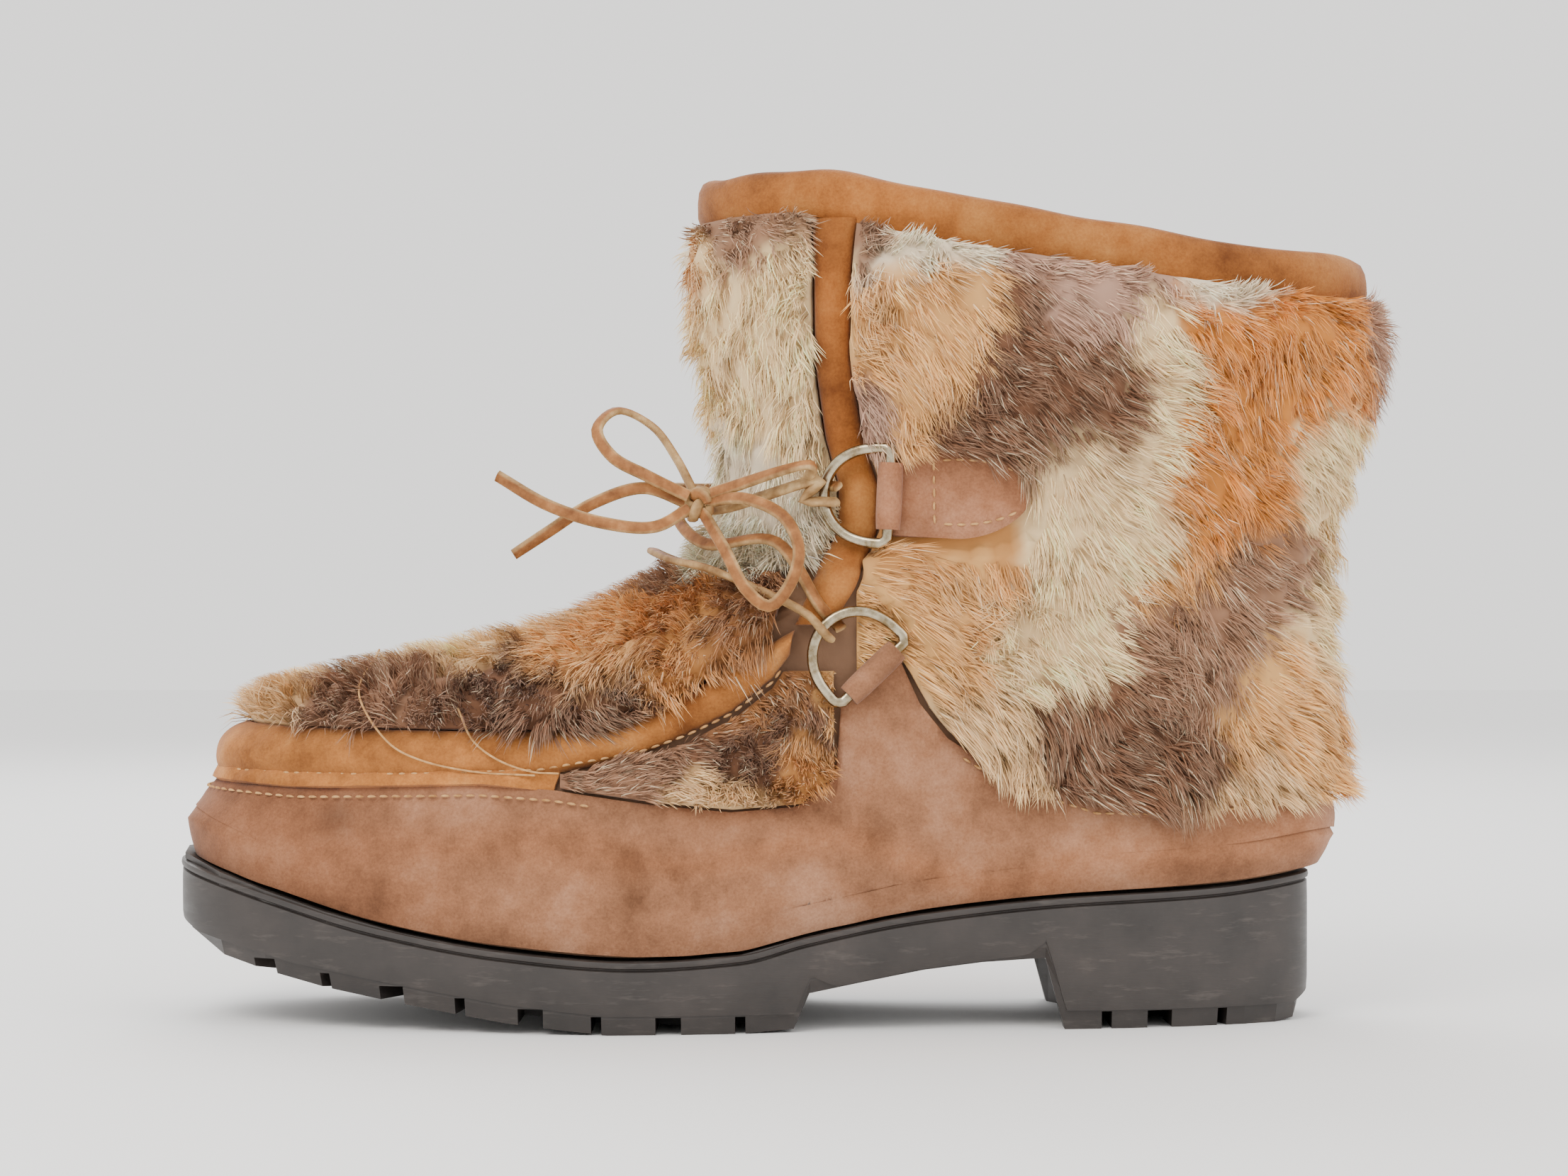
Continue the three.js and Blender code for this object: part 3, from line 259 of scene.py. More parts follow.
# closed shell between two grids of points (columns x rows), a ring where its last column meets the first
def shellFaces(columns, rows, ring):
    k = np.arange(columns * rows).reshape(columns, rows)
    if ring:
        k = np.concatenate([k, k[:1]])
    a, b, c, d = k[:-1, :-1], k[1:, :-1], k[1:, 1:], k[:-1, 1:]
    quads = lambda *q: np.stack(q, -1).reshape(-1, 4)
    n = columns * rows
    out = [quads(a, b, c, d), quads(a + n, d + n, c + n, b + n),
           quads(k[:-1, 0] + n, k[1:, 0] + n, k[1:, 0], k[:-1, 0]),
           quads(k[:-1, -1], k[1:, -1], k[1:, -1] + n, k[:-1, -1] + n)]
    if not ring:
        out += [quads(k[0, :-1] + n, k[0, :-1], k[0, 1:], k[0, 1:] + n),
                quads(k[-1, :-1], k[-1, :-1] + n, k[-1, 1:] + n, k[-1, 1:])]
    return np.concatenate(out)


def shellPoints(angle, level, outer, inner):
    full = np.zeros(angle.shape)
    return np.concatenate([skin(angle, level, outer + full).reshape(-1, 3),
                           skin(angle, level, inner + full).reshape(-1, 3)])


# flat or round bar: a rounded section carried along a path, turned by parallel transport and a twist
def barPoints(path, width, thick, sides, loop, firstArm=(0.31, 0.43, 0.85), twist=0.0):
    corner = 0.7  # under 1, the ellipse fills out towards a box
    path = np.asarray(path, float)
    count = len(path)
    ahead = np.roll(path, -1, 0) - np.roll(path, 1, 0) if loop else np.gradient(path, axis=0)
    along = unit(ahead)
    arm = np.array(firstArm, float)
    arms = np.zeros((count, 3))
    for i in range(count):
        arm = unit(arm - along[i] * arm.dot(along[i]))
        arms[i] = arm
    third = np.cross(along, arms)
    ca, sa = np.cos(roundTurns(sides)), np.sin(roundTurns(sides))
    flat = np.sign(ca) * np.abs(ca) ** corner * width / 2
    deep = np.sign(sa) * np.abs(sa) ** corner * thick / 2
    spin = (twist * np.arange(count) / max(1, count - 1))[:, None]
    u = flat * np.cos(spin) - deep * np.sin(spin)
    v = flat * np.sin(spin) + deep * np.cos(spin)
    return (path[:, None] + third[:, None] * u[..., None] + arms[:, None] * v[..., None]).reshape(-1, 3)


def barFaces(count, sides, loop):
    k = np.arange(count * sides).reshape(count, sides)
    rows = np.concatenate([k, k[:1]]) if loop else k
    nxt = np.roll(rows, -1, 1)
    quads = np.stack([nxt[:-1], nxt[1:], rows[1:], rows[:-1]], -1).reshape(-1, 4)
    caps = [] if loop else [k[0].reshape(1, -1), k[-1][::-1].reshape(1, -1)]
    return [quads] + caps


# open bars of one size as one mesh: their points, then all the sides and all the caps
def joinBars(bars, count, sides):
    faces = [[f + k * count * sides for f in barFaces(count, sides, False)] for k in range(len(bars))]
    quads = np.concatenate([f[0] for f in faces])
    caps = np.concatenate([cap for f in faces for cap in f[1:]])
    return np.concatenate(bars), [quads, caps]


# smooth curve through given points: cubic pieces on root-length knots, then even steps along it
def smoothLine(points, count):
    finePerPoint = 40
    points = np.asarray(points, float)
    gaps = np.sqrt(np.linalg.norm(np.diff(points, axis=0), axis=1))
    knots = np.concatenate([[0], np.cumsum(gaps)])
    tangents = np.gradient(points, knots, axis=0)
    at = np.linspace(0, knots[-1], finePerPoint * len(points))
    i = np.clip(np.searchsorted(knots, at, side="right") - 1, 0, len(points) - 2)
    h = (knots[i + 1] - knots[i])[:, None]
    t = (at - knots[i])[:, None] / h
    fine = ((1 + 2 * t) * (1 - t) ** 2 * points[i] + t * t * (3 - 2 * t) * points[i + 1]
            + h * (t * (1 - t) ** 2 * tangents[i] + t * t * (t - 1) * tangents[i + 1]))
    run = runOf(fine)
    return pickOn(fine, run, np.linspace(0, run[-1], count))


# smooth noise: a sum of sines in seeded directions
def ripple(points, size, seed, waves=9):
    pick = np.random.default_rng(seed)
    pace = 2 * math.pi / size
    directions = unit(pick.normal(size=(waves, 3))) * pace * pick.uniform(0.6, 1.5, (waves, 1))
    phase = pick.uniform(0, 2 * math.pi, waves)
    return np.sin(np.asarray(points) @ directions.T + phase).sum(-1) / math.sqrt(waves)


# materials: Principled shaders fed by noise, ramps and each piece's coat colours, which hold painted shade
# and light in places
def linear(rgb):
    c = np.asarray(rgb, float) / 255
    return np.where(c <= 0.04045, c / 12.92, ((c + 0.055) / 1.055) ** 2.4)


def newMaterial(name, roughness, metallic=0.0, specular=0.5, sheen=0.0):
    material = bpy.data.materials.new(name)
    material.use_nodes = True
    shader = material.node_tree.nodes["Principled BSDF"]
    shader.inputs["Roughness"].default_value = roughness
    shader.inputs["Metallic"].default_value = metallic
    shader.inputs["Specular IOR Level"].default_value = specular
    shader.inputs["Sheen Weight"].default_value = sheen
    return material


# links an output to an input of the shader
def feed(material, socket, source):
    material.node_tree.links.new(source, material.node_tree.nodes["Principled BSDF"].inputs[socket])


# a node with values and links set on its inputs
def addNode(material, kind, values, links):
    node = material.node_tree.nodes.new(kind)
    for socket, value in values.items():
        node.inputs[socket].default_value = value
    for socket, source in links.items():
        material.node_tree.links.new(source, node.inputs[socket])
    return node


def noiseOn(material, scale, detail, rough=0.6, stretch=(1, 1, 1)):
    place = addNode(material, "ShaderNodeTexCoord", {}, {}).outputs["Object"]
    mapping = addNode(material, "ShaderNodeMapping", {"Scale": stretch}, {"Vector": place})
    values = {"Scale": scale, "Detail": detail, "Roughness": rough}
    noise = addNode(material, "ShaderNodeTexNoise", values, {"Vector": mapping.outputs["Vector"]})
    return noise.outputs["Fac"]


def rampOn(material, value, stops):
    ramp = addNode(material, "ShaderNodeValToRGB", {}, {"Fac": value})
    elements = ramp.color_ramp.elements
    while len(elements) < len(stops):
        elements.new(0.5)
    for element, (at, rgb) in zip(elements, stops):
        element.position = at
        element.color = (*linear(rgb), 1)
    return ramp.outputs["Color"]


def blendOn(material, kind, factor, below, above):
    blend = addNode(material, "ShaderNodeMix", {}, {})
    blend.data_type = "RGBA"
    blend.blend_type = kind
    blend.inputs["Factor"].default_value = factor
    material.node_tree.links.new(below, blend.inputs["A"])
    material.node_tree.links.new(above, blend.inputs["B"])
    return blend.outputs["Result"]


def bumpOn(material, height, strength, distance):
    values = {"Strength": strength, "Distance": distance}
    bump = addNode(material, "ShaderNodeBump", values, {"Height": height})
    feed(material, "Normal", bump.outputs["Normal"])


def coatOn(material):
    colour = addNode(material, "ShaderNodeVertexColor", {}, {})
    colour.layer_name = "coat"
    return colour.outputs["Color"]


# suede: blotches and fine nap, washed with the piece's shade, which holds painted shade along the foxing's
# foot and the roll's edges
def suedeMaterial(name, dark, middle, pale):
    material = newMaterial(name, 0.92, specular=0.18, sheen=0.12)
    nap = noiseOn(material, 1500, 3, 0.7)
    tone = rampOn(material, noiseOn(material, 38, 6, 0.65), [(0.3, dark), (0.5, middle), (0.72, pale)])
    speckled = blendOn(material, "SOFT_LIGHT", 0.55, tone, nap)
    feed(material, "Base Color", blendOn(material, "MULTIPLY", 1, speckled, coatOn(material)))
    bumpOn(material, nap, 0.35, 0.0006)
    return material


def furMaterial():
    material = newMaterial("patchwork fur", 0.85, specular=0.15, sheen=0.1)
    feed(material, "Base Color", coatOn(material))
    return material


# rubber: dark clouds under pale scuffs that run level and roughen the shine
def rubberMaterial():
    material = newMaterial("worn rubber", 0.4)
    scuff = noiseOn(material, 160, 4, 0.75, (0.35, 0.35, 2.2))
    clouds = [(0.3, (34, 30, 28)), (0.62, (52, 46, 43)), (0.8, (76, 69, 64))]
    tone = rampOn(material, noiseOn(material, 45, 5), clouds)
    dust = rampOn(material, scuff, [(0.56, (0, 0, 0)), (0.78, (120, 112, 106))])
    feed(material, "Base Color", blendOn(material, "SCREEN", 0.22, tone, dust))
    rough = addNode(material, "ShaderNodeMapRange", {"To Min": 0.3, "To Max": 0.62}, {"Value": scuff})
    feed(material, "Roughness", rough.outputs["Result"])
    bumpOn(material, scuff, 0.12, 0.0008)
    return material


# leather thong: clouded tan, washed with the shade of its rough side
def thongMaterial():
    material = newMaterial("leather thong", 0.66, specular=0.3)
    cloud = noiseOn(material, 220, 4)
    tone = rampOn(material, cloud, [(0.3, (126, 92, 54)), (0.55, (172, 138, 92)), (0.75, (208, 178, 128))])
    feed(material, "Base Color", blendOn(material, "MULTIPLY", 1, tone, coatOn(material)))
    bumpOn(material, cloud, 0.3, 0.0006)
    return material


# clouds of two tones with a fine grain
def plainMaterial(name, tones, scale, grain, strength, roughness, specular, metallic=0.0):
    material = newMaterial(name, roughness, metallic, specular)
    feed(material, "Base Color", rampOn(material, noiseOn(material, scale, 5), tones))
    bumpOn(material, noiseOn(material, grain, 3), strength, 0.0005)
    return material


suedeBrown = suedeMaterial("brown suede", (104, 69, 47), (146, 101, 73), (175, 131, 103))
suedeTan = suedeMaterial("tan suede", (112, 64, 26), (166, 106, 52), (198, 142, 82))
furCoat = furMaterial()
rubber = rubberMaterial()
thongLeather = thongMaterial()
feltSole = plainMaterial("felt footbed", [(0.3, (150, 124, 92)), (0.7, (196, 172, 136))],
                         scale=70, grain=1400, strength=0.5, roughness=0.95, specular=0.15)
lining = plainMaterial("leather lining", [(0.3, (92, 66, 48)), (0.7, (138, 104, 78))],
                       scale=30, grain=700, strength=0.3, roughness=0.72, specular=0.3)
ringMetal = plainMaterial("worn nickel", [(0.35, (124, 106, 76)), (0.6, (184, 172, 146))],
                          scale=260, grain=900, strength=0.05, roughness=0.24, specular=0.5, metallic=1.0)
threadTan = plainMaterial("stitching thread", [(0.3, (160, 112, 66)), (0.7, (214, 170, 116))],
                          scale=400, grain=3000, strength=0.4, roughness=0.8, specular=0.2)
print("materials ready")

# camera, light and floor, in metres
view = {"height": 0.112, "distance": 0.95, "nearSide": 0.045, "width": 0.315, "fills": 0.8, "sensor": 36}
camera = bpy.data.objects.new("camera", bpy.data.cameras.new("camera"))
bpy.context.collection.objects.link(camera)
camera.location = (0, view["distance"], view["height"])
camera.rotation_euler = (math.radians(90), 0, math.radians(180))
camera.data.sensor_width = view["sensor"]
frameWidth = view["width"] / view["fills"]
camera.data.lens = view["sensor"] * (view["distance"] - view["nearSide"]) / frameWidth
bpy.context.scene.camera = camera


def areaLight(name, place, aim, size, power, colour=(1, 1, 1)):
    lamp = bpy.data.objects.new(name, bpy.data.lights.new(name, "AREA"))
    lamp.data.size = size
    lamp.data.energy = power
    lamp.data.color = colour
    lamp.location = place
    lamp.rotation_euler = (Vector(aim) - Vector(place)).to_track_quat("-Z", "Y").to_euler()
    bpy.context.collection.objects.link(lamp)


areaLight("key", (0.5, 1.0, 1.15), (0, 0, 0.1), 0.7, 13, (1, 0.96, 0.9))
areaLight("fill", (-0.9, 0.9, 0.7), (0, 0, 0.1), 0.9, 4, (1, 0.98, 0.96))
areaLight("back", (0.2, -1.0, 1.0), (0, 0, 0.12), 0.9, 10)
world = bpy.data.worlds.new("studio")
world.use_nodes = True
background = world.node_tree.nodes["Background"].inputs
background["Color"].default_value = (1, 0.985, 0.965, 1)
background["Strength"].default_value = 1.55
bpy.context.scene.world = world
floorReach = 3
floorMesh = bpy.data.meshes.new("floor")
floorCorners = [(x * floorReach, y * floorReach, 0) for x, y in ((-1, -1), (1, -1), (1, 1), (-1, 1))]
floorMesh.from_pydata(floorCorners, [], [(0, 1, 2, 3)])
floor = bpy.data.objects.new("floor", floorMesh)
bpy.context.collection.objects.link(floor)
floorPaint = newMaterial("pale floor", 0.85)
floorPaint.node_tree.nodes["Principled BSDF"].inputs["Base Color"].default_value = (0.9, 0.9, 0.9, 1)
floorMesh.materials.append(floorPaint)

# rings and lace
bootSides = {"outer": 1, "inner": -1}
ringValues = {"wire": 2.8, "width": 24.0, "depth": 17.0, "columns": 72, "sides": 14, "barShare": 0.9,
              "barSteps": 20, "bowSteps": 60, "bowFoot": 1.4, "bowPower": 0.8}
ringPlaces = {
    "upper": {"x": 111.5, "z": 135.0, "out": 7.8, "bow": (1, 0.02)},
    "lower": {"x": 118.0, "z": 90.5, "out": 5.5, "bow": (0.69, 0.72)},
}


# a ring's middle of the bar, then unit vectors towards its bow, along its bar and off the hide
def ringFrame(ring, side):
    reach = 3
    at = lambda dx, dz: skinAt(ring["x"] + dx, ring["z"] + dz, side, ring["out"])
    ahead, above = unit(at(reach, 0) - at(-reach, 0)), unit(at(0, reach) - at(0, -reach))
    bow = unit(ahead * ring["bow"][0] + above * ring["bow"][1])
    level = levelOf(ring["x"], ring["z"])
    normal = frameOn(side * angleOf(ring["x"], level), level)[2]
    return at(0, 0), bow, unit(np.cross(normal, bow)), normal


# D shape: a straight bar, then a bow whose height follows a power of the sine
def ringLine(ring, side):
    centre, bow, along, _ = ringFrame(ring, side)
    half, foot, steps = ringValues["width"] / 2, ringValues["bowFoot"], ringValues["barSteps"]
    turn = np.linspace(0, math.pi, ringValues["bowSteps"])
    barEnd = half * ringValues["barShare"]
    b = np.concatenate([np.linspace(-barEnd, barEnd, steps), half * np.cos(turn)])
    rise = foot + (ringValues["depth"] - foot) * np.sin(turn) ** ringValues["bowPower"]
    a = np.concatenate([np.zeros(steps), rise])
    line = centre + b[:, None] * along + a[:, None] * bow
    line = np.concatenate([line, line[:1]])
    run = runOf(line)
    return pickOn(line, run, np.linspace(0, run[-1], ringValues["columns"], endpoint=False))


def makeRing(ringName, sideName):
    ring, side = ringPlaces[ringName], bootSides[sideName]
    wire, sides = ringValues["wire"], ringValues["sides"]
    points = barPoints(ringLine(ring, side), wire, wire, sides, True, ringFrame(ring, side)[3])
    meshPiece(f"dRing_{ringName}_{sideName}", points, barFaces(ringValues["columns"], sides, True), ringMetal,
              [f"ring_{ringName}_{sideName}"])


for ringName in ringPlaces:
    for sideName in bootSides:
        makeRing(ringName, sideName)
print("rings made")

laceValues = {"width": 3.2, "thick": 1.9, "sides": 12, "overFur": 17.0, "roughSide": (0.72, 0.46, 0.32),
              "strandSteps": 70, "strandArm": (0.2, 0.6, 0.8), "strandTwist": 1.4,
              "bowSteps": 48, "bowArm": (0.1, 0.9, 0.4), "bowTwist": 1.2}
knotValues = {"angle": 0.42, "level": 6.57, "out": 22.2, "width": 2.9, "thick": 2.1, "size": 1.35,
              "lift": 1.3, "steps": 90, "sides": 10}


def thongBar(path, firstArm, twist):
    width, thick, sides = laceValues["width"], laceValues["thick"], laceValues["sides"]
    return barPoints(path, width, thick, sides, False, firstArm, twist)


# shade of a thong: its rough side, darker, is where the turn round the bar is above an eased edge
def thongShade(count, sides, edge=0.35):
    rough = ease(edge, 0.8, np.sin(roundTurns(sides)))[None] * np.ones((count, 1))
    return mix(np.ones(3), np.array(laceValues["roughSide"]), rough.reshape(-1, 1))


# where a strand meets a ring: over its bow and into it, or out from under the bow
def ringEnd(ringName, side, over):
    centre, bow, along, normal = ringFrame(ringPlaces[ringName], side)
    apart, inside, ahead = 1.9, 3.4, 4.5
    apex = centre + bow * ringValues["depth"]
    shift = along * (apart if over else -apart)
    sink, lift, leave = (-0.3, 3.0, 3.4) if over else (-0.6, -2.7, 0.5)
    return [apex - bow * inside + shift + normal * sink, apex + normal * lift + shift * 1.1,
            apex + bow * ahead + normal * leave + shift]


# points from turns of angle, level and height, mirrored for the inner side
def onSkin(turns, flip):
    turns = np.array(turns, float)
    return list(skin(turns[:, 0] * flip, turns[:, 1], turns[:, 2]))


# strands over the front: angle, level and height above the hide
overFur = laceValues["overFur"]
barTurns = [(0.85, 5.2, overFur - 3), (0.45, 5.5, overFur - 2), (0, 5.58, overFur - 2),
            (-0.45, 5.5, overFur - 2), (-0.85, 5.2, overFur - 3)]
crossTurns = [(0.9, 5.6, overFur - 3), (0.45, 6.05, overFur - 2), (0, 6.4, overFur - 1),
              (-0.5, 6.6, overFur - 1), (-0.85, 6.72, overFur - 3)]
outerTurns = [(0.82, 6.95, overFur + 1)]
innerTurns = [(-0.8, 6.95, overFur), (-0.4, 7.0, overFur + 1), (0, 6.9, overFur + 2)]
knotCentre = skin(knotValues["angle"], knotValues["level"], knotValues["out"])
strands = [ringEnd("lower", 1, True) + onSkin(barTurns, 1) + ringEnd("lower", -1, True)[::-1]]
for side in bootSides.values():
    crossing = ringEnd("lower", side, False) + onSkin(crossTurns, side)
    strands.append(crossing + ringEnd("upper", -side, True)[::-1])
strands.append(ringEnd("upper", 1, False) + onSkin(outerTurns, 1) + [knotCentre + (-3.5, 3, 2.6)])
strands.append(ringEnd("upper", -1, False) + onSkin(innerTurns, 1) + [knotCentre + (1.5, -3.4, 1.6)])


def makeStrands():
    steps, sides = laceValues["strandSteps"], laceValues["sides"]
    bars = [thongBar(smoothLine(strand, steps), laceValues["strandArm"], laceValues["strandTwist"])
            for strand in strands]
    points, faces = joinBars(bars, steps, sides)
    shade = np.tile(thongShade(steps, sides), (len(bars), 1))
    meshPiece("laceStrands", points, faces, thongLeather, ["lace_crossings"], colours=shade)


# the knot: a trefoil of thong pulled tight, three lifts in two turns
def makeKnot():
    steps, sides = knotValues["steps"], knotValues["sides"]
    turn = np.linspace(0, 2 * math.pi, steps, endpoint=False)
    wide = 2 + np.cos(3 * turn)
    lift = knotValues["lift"] * np.sin(3 * turn)
    loops = np.stack([wide * np.cos(2 * turn), wide * np.sin(2 * turn), lift], -1) * knotValues["size"]
    ahead, above, outward = frameOn(knotValues["angle"], knotValues["level"])
    path = knotCentre + loops[:, :1] * ahead + loops[:, 1:2] * above + loops[:, 2:] * outward
    points = barPoints(path, knotValues["width"], knotValues["thick"], sides, True, outward)
    return meshPiece("bowKnot", points, barFaces(steps, sides, True), thongLeather, ["bow_knot"],
                     colours=thongShade(steps, sides, 0.3))


makeStrands()
knot = makeKnot()
# free turns of the bow, in millimetres from the knot: ahead, to the outer side and up
bowTurns = {
    "bow_loop_front": [(2.6, 0.8, 1.9), (13, 2, 7), (22, 0, 12), (26, -3, 19), (21, -7, 24), (12, -10, 20),
                       (6, -8, 12), (0.9, -2, 2.3)],
    "bow_loop_side": [(-2.4, 1.8, 0.4), (-12, 10.5, 1), (-22, 17, -4), (-25.5, 19, -12), (-23, 19.5, -21),
                      (-18, 21, -26), (-12.5, 22, -22), (-7, 17, -12), (-1.3, 1.7, -2.4)],
    "lace_end_low": [(2.4, 1.5, -1.4), (11, 5, -6), (24, 6, -5), (38, 5, -0.5), (51, 3, 7)],
    "lace_end_high": [(2.9, -1.1, 0.2), (14, -1, 4), (27, 0, 0), (38, 0, -7), (47, 1, -13)],
}
for node, turns in bowTurns.items():
    path = smoothLine(knotCentre + np.array(turns, float), laceValues["bowSteps"])
    piece = meshPiece("thong_" + node, thongBar(path, laceValues["bowArm"], laceValues["bowTwist"]),
                      barFaces(len(path), laceValues["sides"], False), thongLeather, [node],
                      colours=thongShade(len(path), laceValues["sides"]))
print("lace made")

# sole, footbed and upper wall
for node, material in (("outsole", rubber), ("insole", feltSole)):
    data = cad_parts[node].data
    data.materials.clear()
    data.materials.append(material)

wallValues = {"columns": 720, "proud": 0.35, "thick": 1.2, "toe": 6.4, "side": 4.2, "heel": 1.2,
              "overLugs": 4.9, "overWaist": 0.6, "leastHeight": 5, "grooveDrop": 2.8, "heelSpan": (5, 60),
              "toeSpan": (230, 292), "breastSpan": (70, 80), "ballSpan": (126, 136)}
# from the lugs up: share of the height under the groove, reach outwards, and drop from the top edge if not 0
wallProfile = [(0.0, -0.25, 0), (0.12, -0.05, 0), (0.5, 0.0, 0), (0.86, 0.0, 0), (0, -0.1, -2.5),
               (0, -0.75, -2.1), (0, -0.7, -1.9), (0, 0.15, -1.5), (0, 0.3, -0.9), (0, 0.15, -0.1),
               (0, -0.35, 0.12)]


# how far the sole stands out under the upper: most at the toe, least at the heel
def soleOverhang(x):
    side = wallValues["side"]
    return (side + (wallValues["toe"] - side) * ease(*wallValues["toeSpan"], x)
            + (wallValues["heel"] - side) * (1 - ease(*wallValues["heelSpan"], x)))


# the edge where upper and sole meet, with its direction outwards on the level
def featherLine(angle):
    step, foot = 0.02, np.zeros_like(angle)
    along = lastPoint(angle + step, foot) - lastPoint(angle - step, foot)
    return lastPoint(angle, foot), unit(np.stack([along[:, 1], -along[:, 0], foot], -1))


# the side wall of the sole: the feather line moved out by the profile's reach, at the profile's heights
def makeSoleWall():
    here, normal = featherLine(roundTurns(wallValues["columns"]))
    x = here[:, 0]
    top = soleTop(x)
    waist = ease(*wallValues["breastSpan"], x) * (1 - ease(*wallValues["ballSpan"], x))
    low = tread(x) + mix(wallValues["overLugs"], wallValues["overWaist"], waist)
    low = np.minimum(low, top - wallValues["leastHeight"])
    outer = []
    for share, reach, drop in wallProfile:
        row = here + normal * (soleOverhang(x) + reach + wallValues["proud"])[:, None]
        row[:, 2] = top + drop if drop else mix(low, top - wallValues["grooveDrop"], share)
        outer.append(row)
    outer = np.stack(outer, 1)
    inner = outer - normal[:, None] * wallValues["thick"]
    points = np.concatenate([outer.reshape(-1, 3), inner.reshape(-1, 3)])
    meshPiece("soleWall", points, [shellFaces(len(x), len(wallProfile), True)], rubber, sharp=40)


# the wall of the upper: its face at every level, and the same face moved in by the wall
def makeUpper():
    columns, rows = 160, 48
    angle = roundTurns(columns)[:, None] * np.ones((1, rows))
    level = np.ones((columns, 1)) * (form["collarLevel"] * (np.arange(rows) / (rows - 1)))[None]
    points = shellPoints(angle, level, 0.0, -form["wall"])
    meshPiece("upperWall", points, [shellFaces(columns, rows, True)], lining, ["upper"], sharp=50)


makeSoleWall()
makeUpper()
print("sole and upper made")

# suede pieces
# foxing values; the height and depth of the darkening just above the sole set painted shade
foxingValues = {"columns": 460, "rows": 22, "strap": (96, 130), "strapColumns": 60, "topEdge": 0.9,
                "seat": 0.3, "creaseDepth": 1.5, "toeShade": (0.80, 0.70, 0.62),
                "bandShade": (1.08, 1.0, 0.92), "level": 2.0, "bottom": 0.115, "heelLift": 0.14,
                "toeSpan": (205, 285), "bandZ": 44, "bandHalf": 12, "paintedShadeHeight": 9, "paintedSoleShade": 0.25,
                "stain": {"x": 254, "z": 54, "long": 6, "high": 5, "depth": 0.45}}


# level of the foxing's top, or a drop under it, and of its bottom, which lifts towards the heel
def foxingLevel(angle, drop=0.0):
    x = lastPoint(angle, np.full(np.shape(angle), foxingValues["level"]))[..., 0]
    return levelOf(x, foxingTop(x) - drop)


def foxingBottom(angle):
    around = np.abs((angle + math.pi) % (2 * math.pi) - math.pi)
    return foxingValues["bottom"] + foxingValues["heelLift"] * ease(2.2, math.pi, around)


strapX = np.linspace(*foxingValues["strap"], foxingValues["strapColumns"])
strapAngles = angleOf(strapX, np.full(strapX.shape, foxingValues["level"]))
foxingTurns = np.linspace(-math.pi, math.pi, foxingValues["columns"], endpoint=False)
foxingAngles = np.unique(np.concatenate([foxingTurns, strapAngles, -strapAngles]))


# shade of the foxing: a dark toe, a pale band, painted shade along the sole and one stain
def foxingShade(points):
    x, z = points[:, 0], points[:, 2]
    n = ripple(points, 60, 5)
    toe = ease(*foxingValues["toeSpan"], x + 14 * n)
    shade = mix(np.ones(3), np.array(foxingValues["toeShade"]), toe[:, None])
    offBand = np.abs(z - foxingValues["bandZ"] - 5 * n) / foxingValues["bandHalf"]
    band = ease(0.3, 1.0, 1 - offBand) * (1 - toe)
    shade = mix(shade, shade * np.array(foxingValues["bandShade"]), band[:, None])
    # painted shade: darker over the lowest millimetres above the sole, in the corner where the foxing meets
    # the sole's wall
    paintedSoleShade = ease(foxingValues["paintedShadeHeight"], 0, z - soleTop(x)) * foxingValues["paintedSoleShade"]
    stain = foxingValues["stain"]
    away = ((x - stain["x"]) / stain["long"]) ** 2 + ((z - stain["z"]) / stain["high"]) ** 2
    spot = np.exp(-away) * stain["depth"]
    return shade * (1 - np.maximum(paintedSoleShade, spot))[:, None]


# wear creases listed: x, z, slope in degrees, half length, half width and depth, for each side
foxingCreases = {
    1: [
        (168, 41, 68, 12, 2.2, 0.9), (179, 44, 74, 13, 2.4, 1.0), (191, 42, 62, 10, 2.0, 0.7),
        (152, 43, 80, 9, 2.0, 0.6), (122, 58, 100, 15, 2.6, 0.8), (96, 60, 40, 12, 2.4, 0.6),
        (24, 52, 5, 18, 2.2, 0.7), (12, 47, -8, 14, 2.0, 0.6), (262, 52, 20, 9, 2.2, 0.4),
        (222, 45, 30, 12, 2.4, 0.4),
    ],
    -1: [
        (170, 42, 70, 12, 2.2, 0.9), (182, 44, 66, 13, 2.4, 0.9), (195, 43, 75, 10, 2.0, 0.6),
        (120, 58, 98, 14, 2.6, 0.8), (90, 56, 35, 12, 2.4, 0.6), (20, 50, 6, 16, 2.2, 0.6),
    ],
}


# a crease is a trough with a low ridge beside it: a bell across, fading at both ends
def creased(points):
    depth = np.zeros(points.shape[:-1])
    for side, creases in foxingCreases.items():
        here = points[..., 1] * side > 0
        for x, z, slope, long, wide, deep in creases:
            c, s = math.cos(math.radians(slope)), math.sin(math.radians(slope))
            dx, dz = points[..., 0] - x, points[..., 2] - z
            along, across = dx * c + dz * s, dz * c - dx * s
            ridge = 0.55 * np.exp(-(((across - 2.1 * wide) / (1.2 * wide)) ** 2))
            bell = np.exp(-((across / wide) ** 2)) - ridge
            depth -= here * foxingValues["creaseDepth"] * deep * bell * np.exp(-((along / long) ** 4))
    return depth


